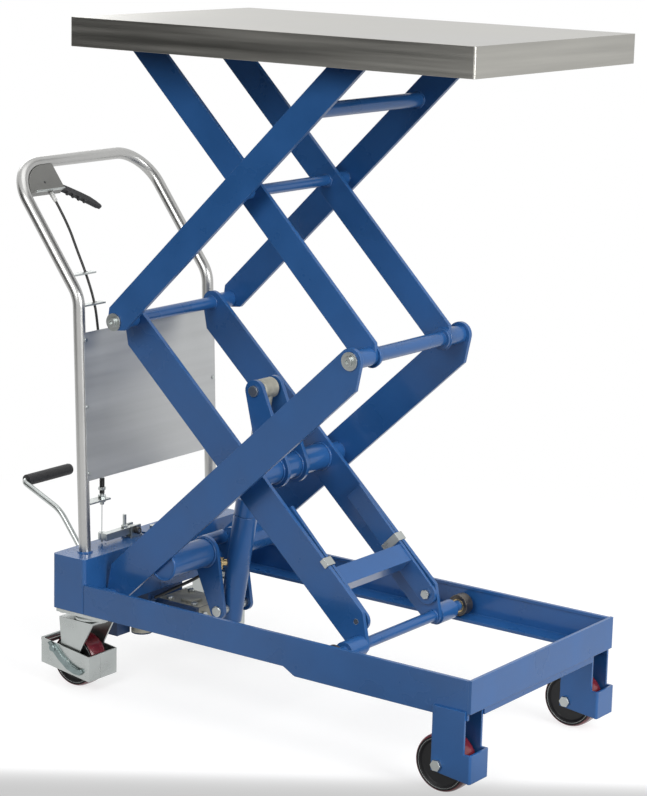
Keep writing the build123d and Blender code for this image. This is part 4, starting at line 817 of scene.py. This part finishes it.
# ---- Welds ----
def add_base_welds():
    """Upright beads at both ends of the rails, and beads under them along the wheel brackets."""
    bm = bmesh.new()
    foot, rear = RAIL_BOTTOM + RAIL_T + 1, BEAM_FRONT + 0.6
    under = RAIL_BOTTOM - 0.8
    middle = FRONT_AXLE[1]
    for sign in (-1, 1):
        inside = sign * (RAIL_OUT - RAIL_T)
        bead_line(bm, at(FRONT_PLATE_X, inside, foot), at(FRONT_PLATE_X, inside, RAIL_TOP - 1), 2.4)
        bead_line(bm, at(rear, inside, foot), at(rear, inside, RAIL_TOP - 2), 2.2)
        for edge in (middle - FRONT_BRACKET_HALF + 2, middle + FRONT_BRACKET_HALF - 6.4):
            y = sign * edge
            bead_line(bm, at(FRONT_PLATE_X - 44, y, under), at(FRONT_PLATE_X - 1, y, under), 1.6)
    finish_mesh("frame_welds", bm, "blue_paint", "base", 60)


def add_arm_welds():
    """Rings of weld where the tubes, lugs, brackets and pins meet the arms."""
    x, z, r = TORQUE_TUBE
    bm = bmesh.new()
    for sign in (-1, 1):
        bead_ring(bm, x, z, r + 0.6, sign * (OUTER_ARM - 0.8), 2.6)
        bead_ring(bm, x, z, r + 0.6, sign * (CYL_BRACKET_FACES[1] + 0.8), 2.6)
    finish_mesh("torque_tube_welds", bm, "blue_paint", "lower_outer", 60)
    x, z, r = LIFT_TUBE
    bm = bmesh.new()
    for sign in (-1, 1):
        bead_ring(bm, x, z, r + 0.6, sign * (INNER_ARM - 0.8), 2.6)
        bead_ring(bm, x, z, r + 0.6, sign * (LUG_FACES[0] - 0.8), 2.2)
        bead_ring(bm, x, z, r + 0.6, sign * (LUG_FACES[1] + 0.8), 2.2)
        bead_ring(bm, 0, MID_Z, 11.4, sign * (INNER_ARM - 0.6), 1.8)
        bead_ring(bm, SPAN, PIN_Z, 10.4, sign * (INNER_ARM - 0.6), 1.8)
    finish_mesh("lift_tube_welds", bm, "blue_paint", "lower_inner", 60)
    bm = bmesh.new()
    for sign in (-1, 1):
        bead_ring(bm, SPAN * 0.8, MID_Z + RISE * 0.8, 13.4, sign * (OUTER_ARM - 0.6), 2.0)
    finish_mesh("upper_outer_welds", bm, "blue_paint", "upper_outer", 60)
    bm = bmesh.new()
    for sign in (-1, 1):
        bead_ring(bm, SPAN / 2, MID_Z + RISE / 2, 10.4, sign * (INNER_ARM - 0.6), 2.0)
        bead_ring(bm, SPAN, MID_Z, 19.2, sign * (INNER_ARM - 0.5), 1.6)
    finish_mesh("upper_inner_welds", bm, "blue_paint", "upper_inner", 60)


# ---- Floor, light and world ----
FLOOR_HALF = 30.0
FLOOR_GREY, FLOOR_GLOW = 0.36, 0.72
FLOOR_FADE = (0.9, 1.7)
STRIP_GLOW = 0.60
TOWARD_CAMERA = (0.5851, -0.8109, 0)
ACROSS_VIEW = (0.8109, 0.5851, 0)
STRIP_ENDS = ((0.36, 0), (0.52, 1))
STRIP_INNER = ((0.40, 0.08), (0.56, 1.0), (0.70, 0.0))
STRIP_MIDDLE, STRIP_SIDES = 0.09, (0.54, 0.74)


def add_sheet(name, half_w, half_h):
    """A flat rectangle round its own origin."""
    bm = bmesh.new()
    corners = ((-half_w, -half_h), (half_w, -half_h), (half_w, half_h), (-half_w, half_h))
    bm.faces.new([bm.verts.new((x, y, 0)) for x, y in corners])
    mesh = bpy.data.meshes.new(name)
    bm.to_mesh(mesh)
    bm.free()
    sheet = bpy.data.objects.new(name, mesh)
    SCENE.collection.objects.link(sheet)
    return sheet


def floor_finish():
    """Lit floor near the object that fades to white, with a soft grey strip by the camera."""
    n = Nodes("floor_white")
    n.shader.inputs["Base Color"].default_value = (FLOOR_GREY, FLOOR_GREY, FLOOR_GREY, 1)
    n.shader.inputs["Roughness"].default_value = 0.9
    n.shader.inputs["Specular IOR Level"].default_value = 0.0
    path = n.add("ShaderNodeLightPath")
    rays = n.math("ADD", path.outputs["Is Camera Ray"], path.outputs["Is Glossy Ray"])
    seen = n.math("MINIMUM", rays, 1.0)
    glow = n.add("ShaderNodeEmission", Strength=n.math("MULTIPLY", rays, FLOOR_GLOW))
    near = n.tree.nodes.new("ShaderNodeAddShader")
    n.feed(near.inputs[0], n.shader.outputs[0])
    n.feed(near.inputs[1], glow.outputs[0])
    far = n.add("ShaderNodeEmission", Strength=seen)
    fade = n.ramp(n.length(n.place), *FLOOR_FADE)
    whole = n.mix_shaders(fade, near.outputs[0], far.outputs[0])
    grey = n.add("ShaderNodeEmission", Strength=n.math("MULTIPLY", seen, STRIP_GLOW))
    band = n.add("ShaderNodeFloatCurve", Value=n.dot(n.place, TOWARD_CAMERA))
    curve = band.mapping.curves[0]
    for place, point in zip(STRIP_ENDS, curve.points):
        point.location = place
    for x, y in STRIP_INNER:
        curve.points.new(x, y)
    band.mapping.update()
    across = n.math("SUBTRACT", n.dot(n.place, ACROSS_VIEW), STRIP_MIDDLE)
    sides = n.ramp(n.math("ABSOLUTE", across, 0.0), *STRIP_SIDES, 1.0, 0.0)
    strip = n.math("MULTIPLY", band.outputs[0], sides)
    front = n.mix_shaders(strip, whole, grey.outputs[0])
    n.feed(n.tree.nodes["Material Output"].inputs["Surface"], front)
    return n.material


def add_floor():
    floor = add_sheet("floor", FLOOR_HALF, FLOOR_HALF)
    floor.data.materials.append(floor_finish())


def add_card(name, place, target, size, grey):
    """A grey card beside the object, for the dark reflections in its bare metal."""
    card = add_sheet(name, size[0] / 2, size[1] / 2)
    card.location = place
    card.rotation_euler = (Vector(target) - Vector(place)).to_track_quat("Z", "Y").to_euler()
    n = Nodes(name)
    n.shader.inputs["Base Color"].default_value = (grey, grey, grey, 1)
    n.shader.inputs["Roughness"].default_value = 1.0
    card.data.materials.append(n.material)
    card.visible_camera = False
    card.visible_shadow = False
    card.visible_diffuse = False


def add_lamp(name, place, target, size, power):
    data = bpy.data.lights.new(name, "AREA")
    data.shape = "RECTANGLE"
    data.size, data.size_y = size
    data.energy = power
    lamp = bpy.data.objects.new(name, data)
    lamp.location = place
    lamp.rotation_euler = (Vector(target) - Vector(place)).to_track_quat("-Z", "Y").to_euler()
    SCENE.collection.objects.link(lamp)


def add_lights():
    middle = (0, 0, 0.6)
    add_lamp("key", (0.6, -3.2, 2.4), middle, (2.0, 1.6), 58)
    add_lamp("front_fill", (3.4, -0.4, 1.7), middle, (1.8, 1.8), 96)
    add_lamp("rear_fill", (-3.0, 1.6, 2.4), middle, (2.0, 1.6), 24)
    add_lamp("top", (0.1, 0.1, 3.4), middle, (2.4, 2.4), 22)
    add_card("dark_card_left", (-2.3, -2.6, 0.9), middle, (3.4, 3.0), 0.06)


AMBIENT = 0.42


def add_world():
    """White where the camera, glossy and clear rays look, and a plain soft light elsewhere."""
    world = bpy.data.worlds.new("studio")
    SCENE.world = world
    world.use_nodes = True
    tree = world.node_tree
    background = tree.nodes["Background"]
    background.inputs["Color"].default_value = (1, 1, 1, 1)
    path = tree.nodes.new("ShaderNodeLightPath")
    seen = path.outputs["Is Camera Ray"]
    for other in ("Is Glossy Ray", "Is Transmission Ray"):
        either = tree.nodes.new("ShaderNodeMath")
        either.operation = "MAXIMUM"
        tree.links.new(seen, either.inputs[0])
        tree.links.new(path.outputs[other], either.inputs[1])
        seen = either.outputs[0]
    level = tree.nodes.new("ShaderNodeMapRange")
    level.inputs["To Min"].default_value = AMBIENT
    level.inputs["To Max"].default_value = 1.0
    tree.links.new(seen, level.inputs["Value"])
    tree.links.new(level.outputs[0], background.inputs["Strength"])
    SCENE.view_settings.view_transform = "Standard"


# ---- Everything ----
add_camera()
FINISH = make_finishes()
dress_cad_nodes()
add_cable()
add_hose()
add_wheels()
add_cylinder_rod()
add_pedal_grip()
add_pump_trim()
add_cable_trim()
add_hand_lever()
add_beam_trim()
add_lower_rollers()
add_handle_tube()
add_caster_trim()
add_base_welds()
add_arm_welds()
add_floor()
add_lights()
add_world()
